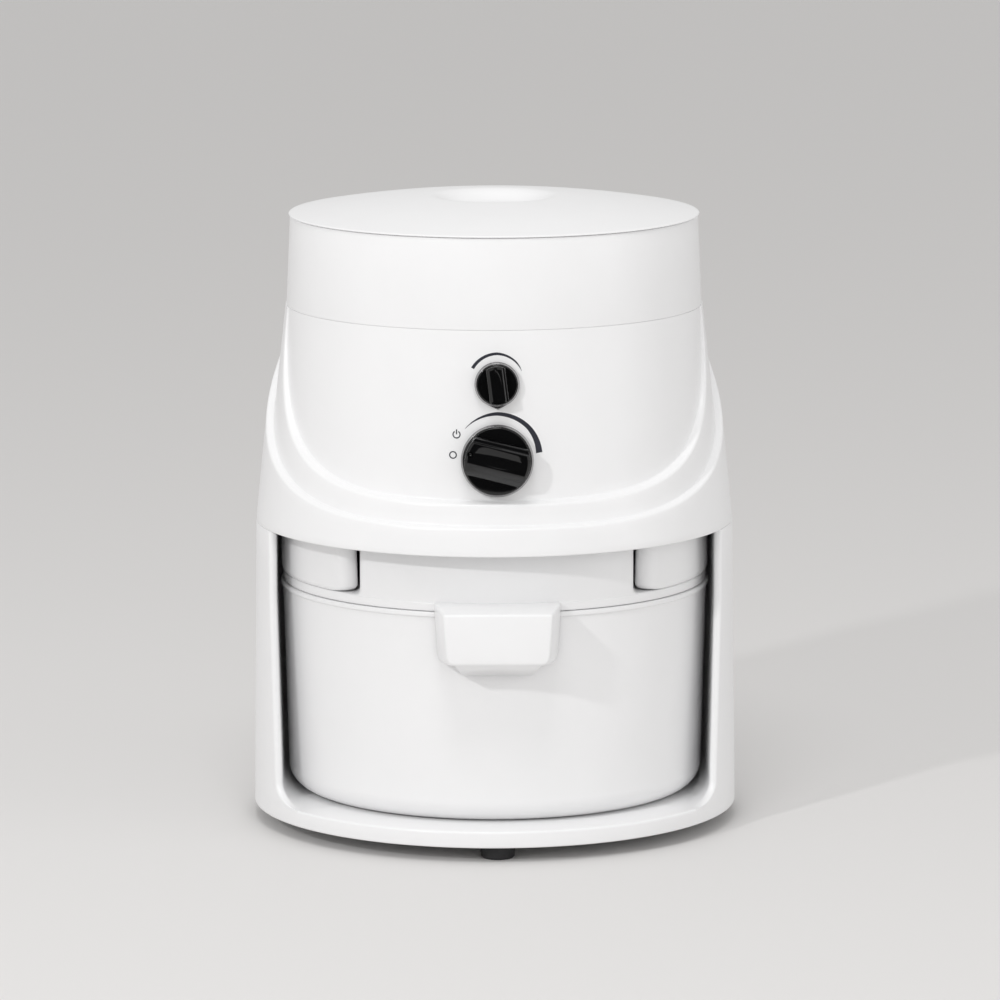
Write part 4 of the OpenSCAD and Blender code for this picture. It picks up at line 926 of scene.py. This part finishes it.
def mark(name, outline, height, lift=0.06, holes=()):
    """Thin printed shape laid on the panel; the outline is in the panel's own plane."""
    mesh = bmesh.new()
    edges = []
    for loop in (outline, *holes):
        verts = [mesh.verts.new((x, y, -0.05)) for x, y in loop]
        edges += [mesh.edges.new((verts[i - 1], verts[i])) for i in range(len(verts))]
    bmesh.ops.triangle_fill(mesh, use_beauty=True, use_dissolve=False, edges=edges)
    raised = bmesh.ops.extrude_face_region(mesh, geom=mesh.faces[:], use_keep_orig=True)
    for item in raised["geom"]:
        if isinstance(item, bmesh.types.BMVert):
            item.co.z = lift
    data = bpy.data.meshes.new(name)
    mesh.to_mesh(data)
    mesh.free()
    piece = bpy.data.objects.new(name, data)
    bpy.context.scene.collection.objects.link(piece)
    for v in data.vertices:
        x, z = v.co.x, height + v.co.y * math.cos(PANEL_TILT)
        v.co = (x, -math.sqrt((panel_r(z) + v.co.z) ** 2 - x * x), z)
    return tidy_mesh(piece)


def crescent(stations, steps=14):
    """Outline of a swelling arc through stations of (angle, inner radius, outer radius)."""
    rim, core = [], []
    for (a0, low0, high0), (a1, low1, high1) in zip(stations, stations[1:]):
        for i in range(steps + (a1 == stations[-1][0])):
            t = i / steps
            a = math.radians(a0 + (a1 - a0) * t)
            low, high = low0 + (low1 - low0) * t, high0 + (high1 - high0) * t
            rim.append((high * math.cos(a), high * math.sin(a) + 0.5))
            core.append((low * math.cos(a), low * math.sin(a) + 0.5))
    return rim + core[::-1]


def open_ring(radius, stroke, x, y, gap, steps=28):
    """Outline of a ring with a gap at its top."""
    start, end = math.radians(90 + gap), math.radians(450 - gap)
    return (arc(x, y, radius, start, end, steps)
            + arc(x, y, radius - stroke, start, end, steps)[::-1])


def circle(radius, x=0.0, y=0.0, steps=32):
    """Outline of a circle."""
    return arc(x, y, radius, 0, math.tau, steps)[:-1]


# ---- add-on

class MillSizes(bpy.types.PropertyGroup):
    """Sizes of the detail that the looks add to the frame."""
    grip_dish: bpy.props.FloatProperty(
        name="Grip Dish", description="Depth of the long dish in the top of a knob's grip",
        default=0.0008, min=0.0004, max=0.002, unit="LENGTH")
    mark_lift: bpy.props.FloatProperty(
        name="Mark Thickness", description="Thickness of the printed marks",
        default=0.00006, min=0.00002, max=0.0002, unit="LENGTH")
    floor_size: bpy.props.FloatProperty(
        name="Floor Size", description="Length of the floor's side",
        default=14.0, min=4.0, max=40.0, unit="LENGTH")


class MillColours(bpy.types.PropertyGroup):
    """Colours of the studio."""
    floor: bpy.props.FloatVectorProperty(
        name="Floor", description="Colour of the floor about the mill", subtype="COLOR",
        default=(0.755, 0.744, 0.736), min=0, max=1)


class GRAINMILL_OT_finishes(bpy.types.Operator):
    """Give every piece of the frame its finish"""
    bl_idname = "grainmill.finishes"
    bl_label = "Finishes"

    def execute(self, context):
        for row in frame["record"]["subparts"]:
            piece = frame["nodes"][row["node"]]
            piece.data.materials.clear()
            piece.data.materials.append(FINISH[row["material_slot"]])
        return {"FINISHED"}


class GRAINMILL_OT_housing(bpy.types.Operator):
    """Model the terraced upper housing"""
    bl_idname = "grainmill.housing"
    bl_label = "Upper Housing"

    def execute(self, context):
        settle_shell(housing_piece(), "stand", "upper_housing")
        return {"FINISHED"}


class GRAINMILL_OT_stand(bpy.types.Operator):
    """Model the round base with the bay wall and columns"""
    bl_idname = "grainmill.stand"
    bl_label = "Stand"

    def execute(self, context):
        settle_shell(stand_piece(), "stand", "stand_shell")
        settle_shell(rails_piece(), "stand", "bowl_rails")
        return {"FINISHED"}


class GRAINMILL_OT_hopper(bpy.types.Operator):
    """Model the hopper ring and its lid"""
    bl_idname = "grainmill.hopper"
    bl_label = "Hopper Ring and Lid"

    def execute(self, context):
        settle_shell(ring_piece(), "stand", "hopper_ring")
        settle_shell(lid_piece(), "lid", "hopper_lid")
        return {"FINISHED"}


class GRAINMILL_OT_bowl(bpy.types.Operator):
    """Model the flour bowl and its cover with the handle"""
    bl_idname = "grainmill.bowl"
    bl_label = "Flour Bowl and Cover"

    def execute(self, context):
        settle_shell(bowl_piece(), "bowl", "flour_bowl")
        settle_shell(cover_piece(), "bowl", "bowl_cover")
        return {"FINISHED"}


class GRAINMILL_OT_knobs(bpy.types.Operator):
    """Model the two knobs and their trim rings"""
    bl_idname = "grainmill.knobs"
    bl_label = "Knobs"

    def execute(self, context):
        dish = context.scene.mill_sizes.grip_dish / MM
        feed, speed = on_panel(FEED_Z, 2.1), on_panel(SPEED_Z, 1.0)
        for piece, place, spin, body, slot, node in (
                (knob_piece("feed_knob_grip", FEED_R, 4.5, FEED_GRIP, dish, 15.0),
                 feed, 166, "feed_control", "knob_black", "feed_knob"),
                (trim_piece("feed_knob_ring", FEED_R),
                 feed, 0, "feed_control", "trim_chrome", "feed_knob_trim"),
                (knob_piece("speed_knob_grip", SPEED_R, 3.6, SPEED_GRIP, dish * 0.6, 8.6),
                 speed, 97, "speed_control", "knob_black", "speed_knob"),
                (trim_piece("speed_knob_ring", SPEED_R - 0.1, nub=13.2),
                 speed, -88, "speed_control", "trim_chrome", "speed_knob_trim")):
            turn(piece, place @ Matrix.Rotation(math.radians(spin), 4, "Z"))
            settle(piece, body, slot, [node])
        return {"FINISHED"}


class GRAINMILL_OT_marks(bpy.types.Operator):
    """Print the crescent scales and the switch symbols on the panel"""
    bl_idname = "grainmill.marks"
    bl_label = "Printed Marks"

    def execute(self, context):
        lift = context.scene.mill_sizes.mark_lift / MM
        stroke, on_x = 0.6, -21.4
        off = 2.05, -23.3, 2.6
        left, right = on_x - stroke / 2, on_x + stroke / 2
        shapes = [
            mark("feed_scale", crescent([(136, 23.3, 23.45), (90, 23.2, 25.1), (45, 22.4, 24.8),
                                         (8.2, 20.7, 24.1)]), FEED_Z, lift),
            mark("speed_scale", crescent([(26.4, 14.4, 14.55), (45, 14.5, 15.3), (90, 14.9, 16.3),
                                          (148.6, 14.2, 15.9)]), SPEED_Z, lift),
            mark("off_symbol", circle(*off), FEED_Z, lift,
                 [circle(off[0] - stroke, *off[1:])[::-1]]),
            mark("on_symbol_ring", open_ring(2.15, stroke, on_x, 13.5, gap=30), FEED_Z, lift),
            mark("on_symbol_bar", [(left, 13.6), (right, 13.6), (right, 16.2), (left, 16.2)],
                 FEED_Z, lift),
        ]
        for shape in shapes:
            settle(shape, "stand", "inner_black", finish="mark_slate")
        return {"FINISHED"}


FLAG_SIZE, FLAG_AT, FLAG_TILT = 3.9, (0, -2.3, 1.42), -46
WORLD_COLOUR, WORLD_STRENGTH = (1.0, 0.995, 0.99, 1), 0.67
LAMPS = (                     # name, place, aim, diameter, power
    ("key", (-1.62, -2.13, 1.57), (0, 0, 0.2), 0.16, 18.5),
    ("softbox", (-0.1, -0.9, 1.9), (0, 0, 0.2), 0.7, 8.0),
    ("side", (2.6, -1.5, 1.0), (0, 0, 0.15), 2.0, 8.0),
    ("fill", (0.4, -3.0, 0.65), (0, 0, 0.15), 2.6, 7.0))
SENSOR_MM, LENS_MM = 36.0, 226.09
CAMERA_AT = (0.00306, -3.3857, 0.73858)
CAMERA_PITCH, CAMERA_YAW, CAMERA_ROLL = 9.477, -0.8, -0.0015   # degrees, degrees, radians


def studio_plane(name, size, finish, **where):
    """A flat sheet of the studio, which is not part of the mill."""
    deselect()
    bpy.ops.mesh.primitive_plane_add(size=size, **where)
    sheet = bpy.context.object
    sheet.name = name
    sheet.data.materials.append(finish)
    return sheet


class GRAINMILL_OT_stage(bpy.types.Operator):
    """Set the floor, the lights and the camera"""
    bl_idname = "grainmill.stage"
    bl_label = "Studio"

    def execute(self, context):
        scene = context.scene
        scene.view_settings.view_transform = "Standard"
        studio_plane("studio_floor", scene.mill_sizes.floor_size,
                     plain_finish("Studio Floor", scene.mill_colours.floor, 0.7),
                     location=(0, 0, 0))
        # a black card that only the glossy surfaces see, which keeps the knobs' flats black
        flag = studio_plane("studio_flag", FLAG_SIZE,
                            plain_finish("Studio Flag", (0.01, 0.01, 0.01), 1.0),
                            location=FLAG_AT, rotation=(math.radians(FLAG_TILT), 0, 0))
        flag.visible_camera = flag.visible_diffuse = flag.visible_shadow = False

        world = bpy.data.worlds.new("Studio World")
        scene.world = world
        world.use_nodes = True
        sky = world.node_tree.nodes["Background"]
        sky.inputs[0].default_value = WORLD_COLOUR
        sky.inputs[1].default_value = WORLD_STRENGTH

        for name, place, aim, size, power in LAMPS:
            lamp = bpy.data.lights.new(name, "AREA")
            lamp.shape, lamp.size, lamp.energy = "DISK", size, power
            holder = bpy.data.objects.new(name, lamp)
            scene.collection.objects.link(holder)
            holder.location = place
            ray = Vector(aim) - Vector(place)
            holder.rotation_euler = ray.to_track_quat("-Z", "Y").to_euler()

        lens = bpy.data.cameras.new("view")
        lens.sensor_width, lens.lens = SENSOR_MM, LENS_MM
        lens.clip_end = 60.0
        camera = bpy.data.objects.new("view", lens)
        scene.collection.objects.link(camera)
        camera.matrix_world = (Matrix.Rotation(math.radians(CAMERA_YAW), 4, "Z")
                               @ Matrix.Translation(CAMERA_AT)
                               @ Matrix.Rotation(math.radians(90 - CAMERA_PITCH), 4, "X")
                               @ Matrix.Rotation(CAMERA_ROLL, 4, "Z"))
        scene.camera = camera
        return {"FINISHED"}


class GRAINMILL_PT_pieces(bpy.types.Panel):
    """Lists the pieces of the mill"""
    bl_label = "Electric Grain Mill"
    bl_idname = "GRAINMILL_PT_pieces"
    bl_space_type = "VIEW_3D"
    bl_region_type = "UI"
    bl_category = "Grain Mill"

    def draw(self, context):
        layout = self.layout
        for group in (context.scene.mill_sizes, context.scene.mill_colours):
            for name in group.bl_rna.properties.keys():
                if name not in ("rna_type", "name"):
                    layout.prop(group, name)
        for operator in PIECES:
            layout.operator(operator.bl_idname)


PIECES = (
    GRAINMILL_OT_finishes, GRAINMILL_OT_housing, GRAINMILL_OT_stand, GRAINMILL_OT_hopper,
    GRAINMILL_OT_bowl, GRAINMILL_OT_knobs, GRAINMILL_OT_marks, GRAINMILL_OT_stage)
CLASSES = (MillSizes, MillColours, *PIECES, GRAINMILL_PT_pieces)


def register():
    """Registers the add-on's classes and its settings."""
    for item in CLASSES:
        bpy.utils.register_class(item)
    bpy.types.Scene.mill_sizes = bpy.props.PointerProperty(type=MillSizes)
    bpy.types.Scene.mill_colours = bpy.props.PointerProperty(type=MillColours)


def unregister():
    """Removes the settings and classes again."""
    del bpy.types.Scene.mill_colours
    del bpy.types.Scene.mill_sizes
    for item in reversed(CLASSES):
        bpy.utils.unregister_class(item)


def main():
    """Models every piece in order."""
    register()
    for operator in PIECES:
        group, name = operator.bl_idname.split(".")
        getattr(getattr(bpy.ops, group), name)()


if __name__ == "__main__":
    main()
